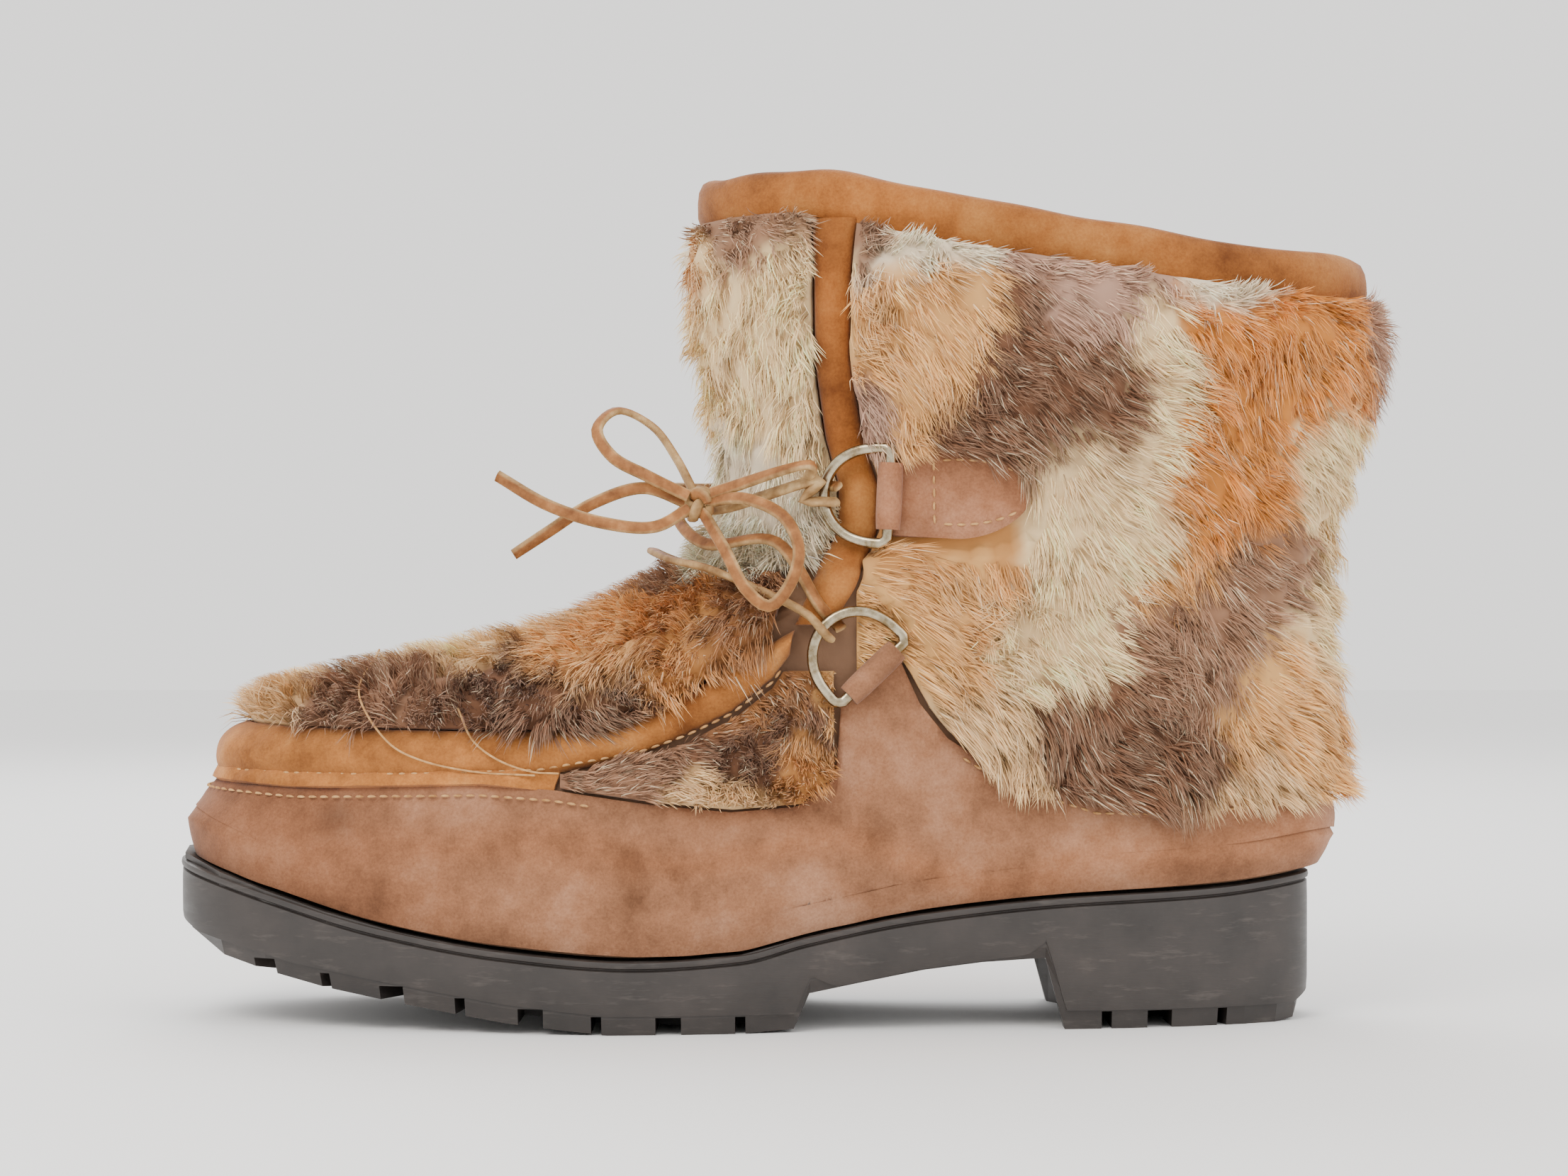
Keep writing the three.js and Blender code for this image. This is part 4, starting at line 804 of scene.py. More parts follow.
# sleeve round a ring's bar: a tube wall carried straight along the bar, thinner at its ends
def sleeveMesh(ringName, side):
    columns, rows, outside, thinning, inside = 28, 9, 3.25, 0.25, 1.75
    centre, bow, along, normal = ringFrame(ringPlaces[ringName], side)
    turn = roundTurns(columns)
    across = np.linspace(-0.35, 0.35, rows) * ringValues["width"]
    bulge = outside - thinning * (np.abs(across) / across.max()) ** 4
    direction = np.cos(turn)[:, None] * bow + np.sin(turn)[:, None] * normal
    middle = centre + across[None, :, None] * along
    outer = middle + direction[:, None] * bulge[None, :, None]
    inner = middle + direction[:, None] * inside
    points = np.concatenate([outer.reshape(-1, 3), inner.reshape(-1, 3)])
    return points, shellFaces(columns, rows, True)[:, ::-1]


# adds the sleeve of a ring to a piece's points and faces
def withSleeve(points, faces, ringName, side):
    sleeve, quads = sleeveMesh(ringName, side)
    return np.concatenate([points, sleeve]), faces + [quads + len(points)]


# the foxing: a shell from the sole up to its top line, rippled, creased and thinner along the top edge
def makeFoxing():
    share = np.linspace(0, 1, foxingValues["rows"])[None]
    angle = foxingAngles[:, None] * np.ones_like(share)
    level = mix(foxingBottom(foxingAngles)[:, None], foxingLevel(foxingAngles)[:, None], share)
    base = lastPoint(angle, level)
    wave = 0.22 * ripple(base, 34, 11) + 0.12 * ripple(base, 14, 12)
    thinned = foxingValues["topEdge"] * ease(0.86, 1, share)
    outer = form["snug"] + form["suede"] + wave - thinned + creased(base)
    points = shellPoints(angle, level, outer, form["snug"] - foxingValues["seat"])
    faces = [shellFaces(len(foxingAngles), foxingValues["rows"], True)]
    for side in bootSides.values():
        points, faces = withSleeve(points, faces, "lower", side)
    meshPiece("foxingBand", points, faces, suedeBrown, ["foxing"], sharp=85,
              colours=foxingShade(points))


rollValues = {"columns": 360, "rows": 18, "end": 139.0, "level": 2.6, "foot": 0.9, "seat": 0.4, "fill": 0.85}


# places from end to end round the toe, from -1 to 1, and their angles, crowded at both ends by part of a sine
def aroundToe(end, columns):
    across = np.linspace(-1, 1, columns)
    return across, end * (0.45 * across + 0.55 * np.sin(math.pi / 2 * across))


# the roll: a crowned band between its two edges, its crown a power of the sine, puckered by ripples
def makeRoll():
    columns, rows = rollValues["columns"], rollValues["rows"]
    _, angles = aroundToe(float(angleOf(rollValues["end"], rollValues["level"])), columns)
    x = lastPoint(angles, np.full(angles.shape, rollValues["level"]))[:, 0]
    share = np.linspace(0, 1, rows)[None]
    low, high = levelOf(x, rollLow(x)) + 0.05, levelOf(x, rollTop(x)) - 0.02
    level = mix(low[:, None], high[:, None], share)
    angle = angles[:, None] * np.ones_like(share)
    base = lastPoint(angle, level)
    crown = np.sin(math.pi * (0.06 + 0.88 * share)) ** 0.8
    pucker = 1 + 0.05 * ripple(base, 22, 21) + 0.035 * ripple(base, 9, 22)
    outer = form["snug"] + rollValues["foot"] + (form["rollHeight"] - rollValues["foot"]) * crown * pucker
    points = shellPoints(angle, level, outer, form["snug"] - rollValues["seat"])
    # colour: darker along both edges, where the crown turns down into the upper, as painted shade; the ripple
    # over it is the suede's uneven tone
    edge = np.tile(np.repeat(1 - 0.22 * np.abs(2 * share - 1) ** 4, columns, 0).ravel(), 2)
    shade = (1 + 0.10 * ripple(points, 40, 23)) * edge
    roll = meshPiece("apronRoll", points, [shellFaces(columns, rows, False)], suedeTan,
                     ["apron_roll"], sharp=70, colours=shade[:, None] * np.ones(3))


bindingValues = {"columns": 300, "shade": (0.78, 0.7, 0.6), "sag": 0.5, "swell": 0.25}
# the fold over the rim: millimetres down from it, and out from the upper's face
foldRows = [(10, 1.1), (10, 1.9), (6, 3.0), (3, 2.9), (0.6, 2.5), (-1.4, 1.5), (-2.1, 0.2), (-2.4, -1.3),
            (-2.1, -2.8), (-1.4, -3.8), (0.6, -4.6), (3, -4.8), (6, -4.6), (10, -4.2), (10, -2.9),
            (-0.3, -2.9), (-0.3, 0.3)]


# the binding: the fold's profile carried round the rim, softened by a ripple, closed both ways
def makeBinding():
    angle = roundTurns(bindingValues["columns"])
    columns = []
    for down, out in foldRows:
        p = skin(angle, underRim(angle, max(down, 0)), np.full(angle.shape, float(out)))
        p[:, 2] -= min(down, 0)
        columns.append(p)
    points = np.stack(columns, 1)
    soft = ripple(points.reshape(-1, 3), 26, 31).reshape(points.shape[:2])
    points[:, 2:13, 2] += bindingValues["sag"] * soft[:, 2:13]
    points[:, 1:5, 1] += bindingValues["swell"] * np.sign(points[:, 1:5, 1]) * soft[:, 1:5]
    k = np.arange(points[..., 0].size).reshape(points.shape[:2])
    k = np.concatenate([k, k[:1]])
    k = np.concatenate([k, k[:, :1]], 1)
    quads = np.stack([k[:-1, :-1], k[1:, :-1], k[1:, 1:], k[:-1, 1:]], -1).reshape(-1, 4)
    flat = points.reshape(-1, 3)
    shade = np.array(bindingValues["shade"]) * (0.95 + 0.13 * ripple(flat, 50, 33))[:, None]
    meshPiece("collarBinding", flat, [quads], suedeTan, ["collar_binding"], sharp=60,
              colours=shade)


stripValues = {"columns": 12, "rows": 90, "low": 102.5, "high": 205.5, "foot": 1.4, "crown": 2.1, "seat": 0.3,
               "shade": (0.76, 0.66, 0.56)}


# a front strip: a crowned band that follows its middle line up the shaft
def makeStrip(sideName, side):
    share = np.linspace(0, 1, stripValues["rows"])[None]
    u = np.linspace(0, 1, stripValues["columns"])[:, None]
    z = mix(stripValues["low"], stripValues["high"], share) * np.ones_like(u)
    x = stripX(z) + (u - 0.5) * side * -stripWidth(z)
    level = levelOf(x, z)
    angle = side * angleOf(x, level)
    crown = stripValues["crown"] * np.sin(math.pi * u) ** 0.7
    outer = form["snug"] + stripValues["foot"] + crown * (1 + 0.08 * ripple(lastPoint(angle, level), 18, 41))
    points = shellPoints(angle, level, outer, form["snug"] - stripValues["seat"])
    shade = np.array(stripValues["shade"]) * (0.94 + 0.13 * ripple(points, 24, 42))[:, None]
    faces = [shellFaces(stripValues["columns"], stripValues["rows"], False)]
    meshPiece(f"frontStrip_{sideName}", points, faces,
              suedeTan, [f"front_strip_{sideName}"], sharp=60, colours=shade)


tabValues = {"front": 112.5, "tip": 78.0, "z": 135.5, "half": 11.4, "rise": 1.5, "leaf": 0.55, "out": 3.1,
             "thick": 2.0, "columns": 48, "rows": 20, "shade": (1.06, 0.98, 0.94)}


# leaf shape: straight edges from the ring, then an ellipse to the tip, which sits a little higher
def tabLine(u, s):
    x = mix(tabValues["tip"], tabValues["front"], u)
    taper = np.sqrt(np.maximum(0.004, 1 - np.maximum(0, 1 - u / tabValues["leaf"]) ** 2))
    z = tabValues["z"] + (2 * s - 1) * tabValues["half"] * taper + tabValues["rise"] * (1 - u)
    return x, z


def makeTab(sideName, side):
    ends = (1, 0) if side > 0 else (0, 1)
    u = np.linspace(*ends, tabValues["columns"])[:, None]
    s = np.linspace(0, 1, tabValues["rows"])[None]
    x, z = tabLine(u * np.ones_like(s), s * np.ones_like(u))
    level = levelOf(x, z)
    angle = side * angleOf(x, level)
    edge = np.minimum(np.minimum(s, 1 - s) * 8, u * 9)
    curl = 0.25 * ripple(lastPoint(angle, level), 20, 51)
    outer = tabValues["out"] + tabValues["thick"] + curl - 0.7 * (1 - ease(0, 1, edge))
    points = shellPoints(angle, level, outer, tabValues["out"])
    faces = [shellFaces(tabValues["columns"], tabValues["rows"], False)]
    points, faces = withSleeve(points, faces, "upper", side)
    shade = np.array(tabValues["shade"]) * (0.95 + 0.1 * ripple(points, 16, 52))[:, None]
    meshPiece(f"ringTab_{sideName}", points, faces, suedeBrown, [f"ring_tab_{sideName}"],
              sharp=55, colours=shade)


weltValues = {"columns": 240, "rows": 7, "end": 196.0, "lip": 1.4, "seat": 0.6, "shade": (1.12, 1.12, 1.1)}


# raw edge of the roll's seam: a thin strip from the foxing's top up under the roll, round the toe
def makeWelt():
    across, angles = aroundToe(float(angleOf(weltValues["end"], 2.4)), weltValues["columns"])
    x = lastPoint(angles, np.full(angles.shape, 2.3))[:, 0]
    share = np.linspace(0, 1, weltValues["rows"])[None]
    low, high = levelOf(x, foxingTop(x) - 0.2), levelOf(x, rollLow(x) + 2.0)
    level = mix(low[:, None], np.maximum(high, low + 0.02)[:, None], share)
    angle = angles[:, None] * np.ones_like(share)
    taper = ease(0, 0.14, 1 - np.abs(across))[:, None]
    fray = 0.2 * ripple(lastPoint(angle, level), 8, 24)
    lip = 0.5 + weltValues["lip"] * np.sin(math.pi * (0.25 + 0.5 * share)) + fray
    points = shellPoints(angle, level, form["snug"] + 0.4 + (lip + 0.7) * taper, weltValues["seat"])
    shade = np.array(weltValues["shade"]) * (1 + 0.1 * ripple(points, 10, 25))[:, None]
    meshPiece("seamWelt", points, [shellFaces(weltValues["columns"], weltValues["rows"], False)], suedeTan,
              sharp=60, colours=shade)


# loose ends of sewing thread over the roll: x, z and height above the upper
threadValues = {"thick": 0.55, "steps": 60, "sides": 6}
looseEnds = [
    [(258, 84, 12), (246, 77, 9.5), (238, 70, 8.2), (231, 66, 6.8), (218, 63.5, 4.6), (202, 62.6, 4.4)],
    [(221, 77, 8.6), (217, 71, 8), (211, 66, 6.6), (203, 63.6, 4.6), (196, 63.2, 4.4)],
]


def makeThreads():
    thick, steps, sides = threadValues["thick"], threadValues["steps"], threadValues["sides"]
    bars = []
    for spots in looseEnds:
        x, z, out = np.array(spots, float).T
        bars.append(barPoints(smoothLine(skinAt(x, z, 1, out), steps), thick, thick, sides, False))
    points, faces = joinBars(bars, steps, sides)
    meshPiece("looseThreads", points, faces, threadTan)


makeFoxing()
makeRoll()
makeBinding()
makeWelt()
makeThreads()
for sideName, side in bootSides.items():
    makeStrip(sideName, side)
    makeTab(sideName, side)
print("suede made")

# stitches
stitchValues = {"length": 2.3, "radius": 0.36, "pitch": 3.3, "sides": 6, "place": (-0.5, -0.3, 0, 0.3, 0.5),
                "fat": (0.25, 0.85, 1, 0.85, 0.25), "sink": (-0.3, 0.05, 0.15, 0.05, -0.3),
                "underTop": 2.6, "overRollEdge": 1.0, "rollEnd": 141.0}


# each stitch is a small spindle: six-sided rings at five places, pinched at both ends
def stitchesAlong(line, normals):
    run = runOf(line)
    at = np.arange(stitchValues["pitch"] / 2, run[-1], stitchValues["pitch"])
    steps = np.arange(len(line))
    after, before = np.minimum(steps + 1, len(line) - 1), np.maximum(steps - 1, 0)
    centre, normal = pickOn(line, run, at), unit(pickOn(normals, run, at))
    along = unit(pickOn(line[after], run, at) - pickOn(line[before], run, at))
    side = unit(np.cross(normal, along))
    centre, normal, along, side = (v[:, None, None] for v in (centre, normal, along, side))
    place = (np.array(stitchValues["place"]) * stitchValues["length"])[None, :, None, None]
    fat = (np.array(stitchValues["fat"]) * stitchValues["radius"])[None, :, None, None]
    sink = np.array(stitchValues["sink"])[None, :, None, None]
    turn = roundTurns(stitchValues["sides"])[None, None, :, None]
    points = centre + along * place + normal * (sink + fat * np.sin(turn)) + side * fat * np.cos(turn)
    return points.reshape(-1, len(stitchValues["place"]) * stitchValues["sides"], 3)


def stitchesOn(angle, level, out):
    return stitchesAlong(skin(angle, level, np.full(angle.shape, out)), frameOn(angle, level)[2])


# seam under the foxing's top, left out at the straps
def foxingStitches():
    angle = np.linspace(-math.pi, math.pi, 2400)
    x = lastPoint(angle, np.full(angle.shape, foxingValues["level"]))[:, 0]
    strapBack, strapFront = foxingValues["strap"]
    clear = (x < strapBack) | (x > strapFront)
    level = foxingLevel(angle, stitchValues["underTop"])
    line = skin(angle, level, np.full(angle.shape, form["snug"] + form["suede"] + 0.25))
    normal = frameOn(angle, level)[2]
    kept = [clear & (angle > low) & (angle < high)
            for low, high in ((-math.pi, -1.7), (-1.25, 1.25), (1.7, math.pi))]
    return [stitchesAlong(line[keep], normal[keep]) for keep in kept]


def rollStitches():
    end = float(angleOf(stitchValues["rollEnd"], rollValues["level"]))
    angle = np.linspace(-end, end, 1500)
    x = lastPoint(angle, np.full(angle.shape, rollValues["level"]))[:, 0]
    level = levelOf(x, rollLow(x) + stitchValues["overRollEdge"])
    return [stitchesOn(angle, level, form["snug"] + 2.6)]


# two rows along the edges of a tab and one across it, as shares of its length and width
def tabStitches(side):
    t = np.linspace(0, 1, 160)
    along = mix(0.1, 0.66, t)
    rows = []
    for u, s in ((along, 0.14), (along, 0.86), (0.68, mix(0.12, 0.88, t))):
        x, z = tabLine(u + 0 * t, s + 0 * t)
        level = levelOf(x, z)
        rows.append(stitchesOn(side * angleOf(x, level), level, tabValues["out"] + 2.15))
    return rows


def makeStitches():
    cells = np.concatenate(foxingStitches() + rollStitches() + tabStitches(1) + tabStitches(-1))
    count, perStitch = cells.shape[:2]
    k = np.arange(perStitch).reshape(-1, stitchValues["sides"])
    nxt = np.roll(k, -1, 1)
    one = np.stack([k[1:], nxt[1:], nxt[:-1], k[:-1]], -1).reshape(-1, 4)
    start = perStitch * np.arange(count)[:, None]
    quads = (one[None] + start[:, None]).reshape(-1, 4)
    caps = np.concatenate([k[0] + start, k[-1][::-1] + start])
    meshPiece("stitches", cells.reshape(-1, 3), [quads, caps], threadTan)
    print("stitches:", count)


makeStitches()

# fur
coat = {"cream": (249, 216, 164), "white": (252, 235, 206), "ginger": (212, 136, 62),
        "paleGinger": (230, 174, 108), "grey": (158, 117, 90), "dark": (126, 87, 64),
        "mauve": (186, 147, 125), "tan": (206, 146, 84), "beige": (226, 186, 134), "brown": (158, 106, 64)}
coatNames = list(coat)
coatColours = np.array([linear(coat[n]) for n in coatNames])
# patches of the pelt seen from the outer side: x, z, half width, half height, colour
outerPatches = [
    (150, 178, 20, 26, "cream"), (148, 205, 14, 8, "grey"), (166, 199, 7, 9, "tan"),
    (152, 142, 12, 14, "white"), (168, 160, 8, 14, "cream"), (104, 203, 13, 9, "white"),
    (119, 206, 8, 7, "grey"), (108, 173, 13, 19, "paleGinger"), (117, 160, 8, 10, "mauve"),
    (76, 164, 19, 20, "dark"), (60, 193, 20, 12, "mauve"), (28, 193, 10, 9, "white"),
    (14, 176, 22, 18, "ginger"), (-14, 178, 8, 12, "mauve"), (50, 168, 8, 14, "cream"),
    (64, 134, 17, 16, "cream"), (32, 138, 14, 12, "ginger"), (44, 122, 12, 9, "tan"),
    (0, 148, 15, 16, "cream"), (22, 115, 14, 12, "grey"), (101, 104, 13, 15, "paleGinger"),
    (96, 125, 14, 8, "tan"), (76, 100, 14, 16, "cream"), (43, 96, 15, 12, "grey"),
    (56, 75, 20, 12, "dark"), (14, 82, 13, 14, "paleGinger"), (2, 106, 13, 16, "cream"),
    (-6, 124, 8, 12, "beige"), (-2, 70, 10, 9, "paleGinger"), (22, 64, 14, 5, "beige"),
    (90, 80, 12, 12, "beige"), (148, 68, 10, 8, "dark"), (138, 62, 8, 7, "tan"),
    (161, 58, 10, 5, "beige"), (150, 80, 8, 8, "brown"), (172, 64, 9, 6, "grey"),
]
innerPatches = [
    (150, 178, 20, 26, "cream"), (150, 205, 14, 8, "white"), (152, 142, 12, 14, "white"),
    (166, 190, 8, 14, "paleGinger"), (20, 178, 30, 22, "ginger"), (-12, 178, 10, 20, "grey"),
    (70, 192, 24, 16, "white"), (72, 166, 14, 16, "cream"), (112, 196, 14, 14, "dark"),
    (104, 172, 14, 14, "ginger"), (62, 128, 15, 26, "grey"), (20, 146, 18, 12, "tan"),
    (-2, 140, 12, 14, "grey"), (14, 112, 18, 18, "cream"), (40, 108, 12, 16, "white"),
    (92, 140, 16, 14, "beige"), (98, 112, 16, 14, "cream"), (62, 88, 18, 16, "brown"),
    (12, 78, 18, 14, "ginger"), (92, 82, 14, 12, "mauve"), (36, 68, 14, 8, "grey"),
    (148, 68, 10, 8, "beige"), (138, 62, 8, 7, "cream"), (165, 62, 12, 6, "grey"),
]
# patches of the apron seen from above: x, y, half length, half width, colour
apronPatches = [
    (272, 0, 14, 24, "beige"), (246, 16, 22, 14, "grey"), (246, -16, 20, 14, "dark"),
    (210, 30, 26, 12, "dark"), (226, 2, 18, 12, "cream"), (205, 2, 16, 14, "beige"),
    (186, 20, 14, 12, "paleGinger"), (180, -16, 16, 14, "tan"), (205, -28, 22, 12, "brown"),
    (164, 24, 12, 12, "tan"), (162, -6, 12, 18, "grey"), (150, 34, 8, 8, "brown"),
]
patchValues = {"warp": 3.6, "feather": 1.6, "sideWarp": 2, "edge": 4.0}


# colour of the coat: the nearest patch by its own radii, feathered by noise and a soft minimum
def coatAt(points, region):
    n1, n2 = ripple(points, 26, 61), ripple(points, 26, 62)
    n3, n4 = ripple(points, 9, 63), ripple(points, 9, 64)
    warp, feather = patchValues["warp"], patchValues["feather"]
    across, up = warp * n1 + feather * n3, warp * n2 + feather * n4
    if region == "apron":
        sets = [(apronPatches, np.ones(len(points), bool), points[:, 0] + across, points[:, 1] + up)]
    else:
        outer = points[:, 1] + patchValues["sideWarp"] * n1 > 0
        sets = [(patches, mask, points[:, 0] + across, points[:, 2] + up)
                for patches, mask in ((outerPatches, outer), (innerPatches, ~outer))]
    result = np.zeros((len(points), 3))
    for patches, mask, a, b in sets:
        x, z, wide, high = np.array([p[:4] for p in patches], float).T
        colours = coatColours[[coatNames.index(p[4]) for p in patches]]
        d = ((a[mask, None] - x) / wide) ** 2 + ((b[mask, None] - z) / high) ** 2
        weight = np.exp(-patchValues["edge"] * (d - d.min(1, keepdims=True)))
        result[mask] = weight @ colours / weight.sum(1, keepdims=True)
    return result


edgeValues = {"underBinding": 1.2, "stripGap": 0.9, "shaftFront": 127.0, "footLevel": 3.0, "stripLevel": 3.7,
              "heelmost": 4, "topFront": 1.3, "frontLow": 5.74, "apronLow": 3.02, "apronTop": 5.7,
              "apronEnds": (143, 139), "sideEnds": (127.6, 196), "overFoxing": 0.7, "underRoll": 0.5}
furTop = form["bindingHeight"] - edgeValues["underBinding"]


# where fur meets a front strip at a level, ahead of it (edge 1) or behind it (edge -1)
def stripEdge(level, edge):
    x = np.full(np.shape(level), 125.0)
    for _ in range(3):  # the strip's middle depends on z, so x settles in three rounds
        z = heightOn(sectionAt(level), x)
        x = stripX(z) + edge * (stripWidth(z) / 2 + edgeValues["stripGap"])
    return x


# each column keeps its share of the way from the strip to the heel, eased so that its foot meets the foxing
def shaftPlace(u, s):
    share = 1 - np.abs(2 * u - 1)
    footLevel = edgeValues["footLevel"]
    footAngle = mix(float(angleOf(edgeValues["shaftFront"], footLevel)), math.pi, share)
    foot = lastPoint(footAngle, np.full(u.shape, footLevel))[..., 0]
    lowest = np.interp(foot, shaftLowRows[:, 0], shaftLowRows[:, 1])
    low = levelOf(np.maximum(foot, edgeValues["heelmost"]), lowest)
    level = mix(low, underRim(mix(edgeValues["topFront"], math.pi, share), furTop), s)
    frontAngle = lambda at: angleOf(stripEdge(np.maximum(at, edgeValues["stripLevel"]), -1), at)
    start = frontAngle(low)
    lowShare = np.clip((angleOf(foot, low) - start) / (math.pi - start), 0, 1)
    angle = mix(frontAngle(level), math.pi, mix(lowShare, share, s))
    return np.where(u < 0.5, angle, 2 * math.pi - angle), level


def frontPlace(u, s):
    level = mix(edgeValues["frontLow"] + 0.06 * (2 * u - 1) ** 2, underRim(np.zeros(u.shape), furTop), s)
    edge = angleOf(stripEdge(level, 1), level)
    return (2 * u - 1) * edge, level


def apronPlace(u, s):
    across = 2 * u - 1
    level = mix(edgeValues["apronLow"], edgeValues["apronTop"] - 0.1 * across ** 2, s)
    edge = angleOf(mix(*edgeValues["apronEnds"], s), level)
    return edge * (0.5 * across + 0.5 * np.sin(math.pi / 2 * across)), level


def sidePlace(side):
    def place(u, s):
        t = 1 - u if side > 0 else u
        x = mix(*edgeValues["sideEnds"], t)
        low = levelOf(x, foxingTop(x) + edgeValues["overFoxing"])
        rollEdge = rollLow(np.maximum(x, 140)) - edgeValues["underRoll"]
        level = mix(low, np.maximum(levelOf(x, rollEdge), low + 0.03), s)
        return side * angleOf(x, level), level
    return place


# comb: how far the hairs lie back, up and out
bodyFur = {"region": "body", "pile": 7.6, "long": 11.0, "cuts": 1}
sideFur = {"region": "body", "pile": 4.6, "long": 7.0, "cuts": 1, "grid": (50, 16), "hairs": 6000,
           "comb": (0.35, -0.35, 0.8), "slot": "fur_brown"}
furPieces = {
    "shaft_fur": {**bodyFur, "place": shaftPlace, "grid": (170, 58), "hairs": 140000, "cuts": 3,
                  "comb": (0.5, -0.8, 0.66), "slot": "fur_ginger"},
    "front_fur": {**bodyFur, "place": frontPlace, "grid": (50, 50), "hairs": 24000,
                  "comb": (0.25, -0.8, 0.62), "slot": "fur_cream"},
    "apron_fur": {**bodyFur, "place": apronPlace, "grid": (90, 44), "hairs": 42000, "region": "apron",
                  "pile": 8.2, "comb": (0.25, -0.7, 0.85), "slot": "fur_brown"},
    "side_fur_outer": {**sideFur, "place": sidePlace(1)},
    "side_fur_inner": {**sideFur, "place": sidePlace(-1)},
}
# the pelt's shade darkens the coat as painted shade deep in the pile
peltValues = {"seat": 0.7, "least": 0.6, "share": 0.7, "rimShare": 0.45, "rimCells": 5, "shade": 0.72}
# the hairs' root and middle shades are painted shade in the pile, and their tip shade is painted light
hairValues = {"width": 0.36, "clump": 5.0, "warp": 2.4, "gather": 0.42, "groupTurn": 0.22, "ownTurn": 0.13,
              "longSpread": (0.72, 1.12), "rootDepth": 1.6, "reach": 12.5, "rootPaintedShade": 0.7, "midPaintedShade": 0.95,
              "tipPaintedLight": 1.08, "darkHair": (104, 72, 50), "paleHair": (246, 226, 190),
              "paleTip": (236, 222, 196)}
lowPile = {"tab": 0.2, "ring": 0.34, "shaved": 0.3, "depth": 25}


# room round a ring and its tab: the pile lies low there
def flattened(points):
    low = np.ones(len(points))
    for side in bootSides.values():
        inRing = np.zeros(len(points), bool)
        for ringName, back in (("upper", 0), ("lower", -5)):
            centre, bow, along, normal = ringFrame(ringPlaces[ringName], side)
            d = points - centre
            a, b, near = d @ bow, np.abs(d @ along), np.abs(d @ normal) < lowPile["depth"]
            inRing |= (a >= back) & (a < 20.5) & (b < 15) & near
            if ringName == "upper":
                tabHalf = 12.5 * np.sqrt(np.clip(1 - np.maximum(0, (-a - 14) / 21.5) ** 2, 0, 1))
                inTab = (a > -35.5) & (a < 4) & (b < tabHalf + 0.6) & near
        low = np.where(inTab, lowPile["tab"], np.where(inRing, np.minimum(low, lowPile["ring"]), low))
    return low


# the pelt: a closed sheet as high as the pile, lower at its rim and under the rings, rough with two ripples,
# coloured as the coat darkened by painted shade deep in the pile
def makePelt(node, v, u, s, angle, level):
    columns, rows = v["grid"]
    base = lastPoint(angle, level).reshape(-1, 3)
    rim = np.minimum(np.minimum(u, 1 - u) * columns, np.minimum(s, 1 - s) * rows)
    rough = (0.8 * ripple(base, 9, 71) + 0.6 * ripple(base, 5, 72)).reshape(u.shape)
    rimShare = peltValues["rimShare"]
    rimmed = rimShare + (1 - rimShare) * ease(0, peltValues["rimCells"], rim)
    full = rimmed * v["pile"] * peltValues["share"]
    outer = 1.0 + np.maximum(peltValues["least"], (full + rough) * flattened(base).reshape(u.shape))
    points = shellPoints(angle, level, outer, peltValues["seat"])
    # painted shade: the coat's colours darkened on the sheet beneath the hairs
    colours = np.tile(coatAt(base, v["region"]) * peltValues["shade"], (2, 1))
    meshPiece("pelt_" + node, points, [shellFaces(columns, rows, False)], furCoat, [node],
              colours=colours)


# roots spread evenly over the area of the grid, none under a tab
def hairRoots(v, s, angle, level):
    base = lastPoint(angle, level)
    edgeU, edgeS = base[1:, :-1] - base[:-1, :-1], base[:-1, 1:] - base[:-1, :-1]
    area = np.linalg.norm(np.cross(edgeU, edgeS), axis=-1).ravel()
    cell = rng.choice(len(area), v["hairs"], p=area / area.sum())
    i, j = np.divmod(cell, v["grid"][1] - 1)
    fu = rng.random(v["hairs"])
    fs = rng.random(v["hairs"])
    between = lambda g: ((1 - fu) * (1 - fs) * g[i, j] + fu * (1 - fs) * g[i + 1, j]
                         + (1 - fu) * fs * g[i, j + 1] + fu * fs * g[i + 1, j + 1])
    rootAngle, rootLevel, rootShare = between(angle), between(level), between(s)
    hide = lastPoint(rootAngle, rootLevel)
    low = flattened(hide)
    found = (rootAngle, rootShare, hide, low, *frameOn(rootAngle, rootLevel))
    return [a[low > lowPile["shaved"]] for a in found]


# clumps: the cells of a jittered lattice, as each hair's group, the groups' sizes and their middles
def clumpsOf(hide):
    warp = np.stack([ripple(hide, 14, k) for k in (91, 92, 93)], -1) * hairValues["warp"]
    lattice = np.floor((hide + warp) / hairValues["clump"])
    key = (lattice @ np.array([73856093, 19349663, 83492791])).astype(np.int64)
    group = np.unique(key, return_inverse=True)[1].ravel()
    sizes = np.bincount(group)
    return group, len(sizes), np.stack([np.bincount(group, hide[:, k]) / sizes for k in range(3)], -1)


# shades of the hairs at root, middle and tip: the coat's colour, varied, with some dark and some pale hairs,
# darker at the root and lighter at the tip as painted shade and light through the pile
def hairShades(hide, region, group, groups):
    count = len(hide)
    colour = coatAt(hide, region)
    colour *= (1 + 0.13 * rng.normal(size=count) + 0.10 * rng.normal(size=groups)[group])[:, None]
    guard = rng.random(count)[:, None]
    colour = np.where(guard < 0.07, mix(colour, linear(hairValues["darkHair"]), 0.55), colour)
    colour = np.where(guard > 0.92, mix(colour, linear(hairValues["paleHair"]), 0.5), colour)
    colour = np.clip(colour, 0.02, 0.95)
    # painted light at the tip, painted shade at the root and middle
    tip = np.clip(mix(colour, linear(hairValues["paleTip"]), 0.12) * hairValues["tipPaintedLight"], 0, 0.95)
    root, middle = colour * hairValues["rootPaintedShade"], colour * hairValues["midPaintedShade"]
    return np.stack([root, root, middle, middle, tip], 1)


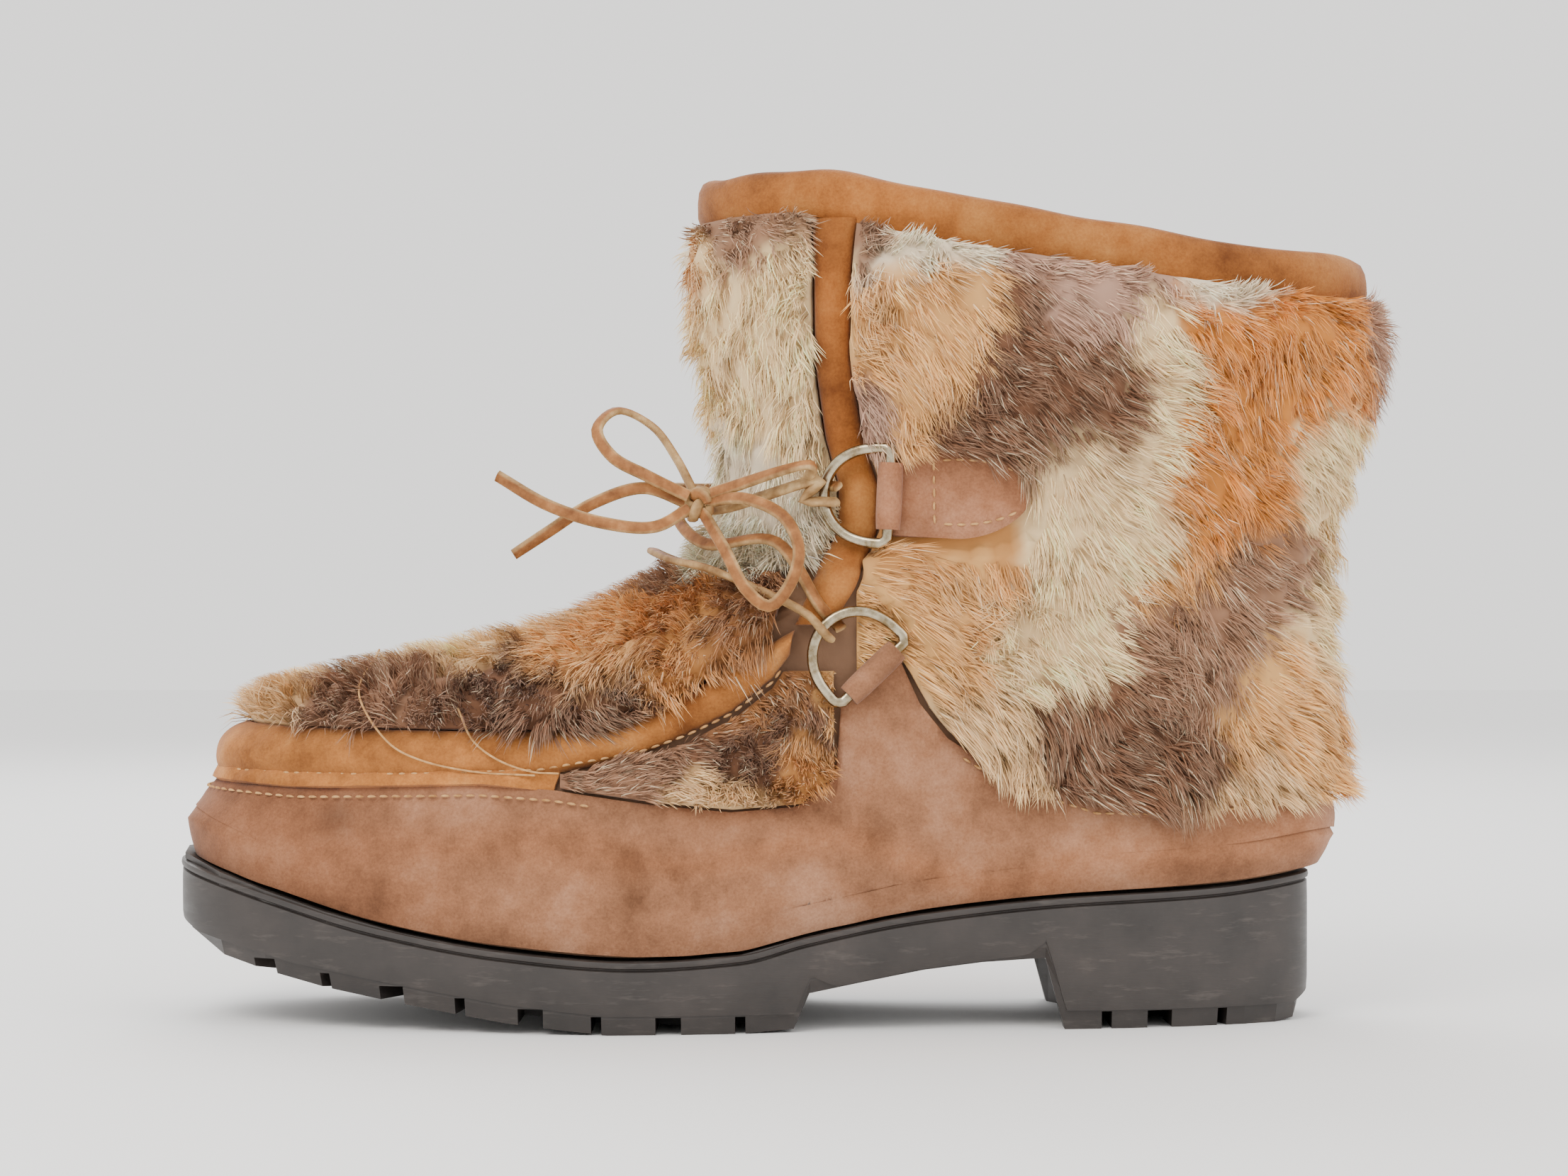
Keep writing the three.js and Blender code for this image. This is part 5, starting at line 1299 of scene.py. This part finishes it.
# each hair is a flat blade of a quad and a triangle, combed, gathered into its clump and bent upwards
def makeHairs(node, v, s, angle, level):
    rootAngle, rootShare, hide, low, along, up, out = hairRoots(v, s, angle, level)
    count, region, comb = len(hide), v["region"], v["comb"]
    back = np.where(np.sin(rootAngle) >= 0, 1.0, -1.0)[:, None] * along
    if region == "apron":
        back = np.sin(rootAngle)[:, None] * along
    nearTop = ease(0.9, 1.0, rootShare) if region == "body" else np.zeros(count)
    lie = (back * (comb[0] + 0.45 * ripple(hide, 38, 81))[:, None]
           + up * (mix(comb[1], 0.1, nearTop) + 0.3 * ripple(hide, 38, 82))[:, None]
           + out * (comb[2] + 0.18 * ripple(hide, 16, 83))[:, None])
    group, groups, middle = clumpsOf(hide)
    groupTurn = rng.normal(0, hairValues["groupTurn"], (groups, 3))
    lie = unit(lie + groupTurn[group] + rng.normal(0, hairValues["ownTurn"], (count, 3)))
    long = v["long"] * rng.uniform(*hairValues["longSpread"], count)
    long = long * np.where(low < 0.9, 0.42, 1.0) * (1 - 0.45 * nearTop)
    long *= (1 + 0.12 * rng.normal(size=groups))[group]
    root = hide + out * (v["pile"] * 0.22 + rng.uniform(0, hairValues["rootDepth"], count) * low)[:, None]
    pull = (middle[group] - hide) * (hairValues["gather"] * rng.uniform(0.5, 1, count))[:, None]
    pull -= out * (pull * out).sum(-1, keepdims=True)
    tip = root + lie * long[:, None] + pull
    knee = mix(root, tip, 0.5) + out * (long * 0.16)[:, None] + pull * 0.15
    tipOut = ((tip - hide) * out).sum(-1)
    tip -= out * np.maximum(0, tipOut - hairValues["reach"])[:, None]
    flat = unit(np.cross(out, lie) + 0.35 * rng.normal(size=(count, 3)))
    wide = flat * (hairValues["width"] * rng.uniform(0.7, 1.3, count)[:, None] / 2)
    vertices = np.stack([root - wide, root + wide, knee - wide * 0.85, knee + wide * 0.85, tip], 1)
    shades = hairShades(hide, region, group, groups)
    for cut, part in enumerate(np.array_split(np.argsort(rootAngle, kind="stable"), v["cuts"])):
        start = 5 * np.arange(len(part))[:, None]
        faces = [start + np.array([[0, 1, 3, 2]]), start + np.array([[2, 3, 4]])]
        name = f"hair_{node}_{cut}" if v["cuts"] > 1 else f"hair_{node}"
        meshPiece(name, vertices[part].reshape(-1, 3), faces, furCoat,
                  colours=shades[part].reshape(-1, 3))
    print(node, "hairs:", count)


for node, values in furPieces.items():
    columns, rows = values["grid"]
    u, s = np.meshgrid(np.linspace(0, 1, columns), np.linspace(0, 1, rows), indexing="ij")
    angle, level = values["place"](u, s)
    makePelt(node, values, u, s, angle, level)
    makeHairs(node, values, s, angle, level)
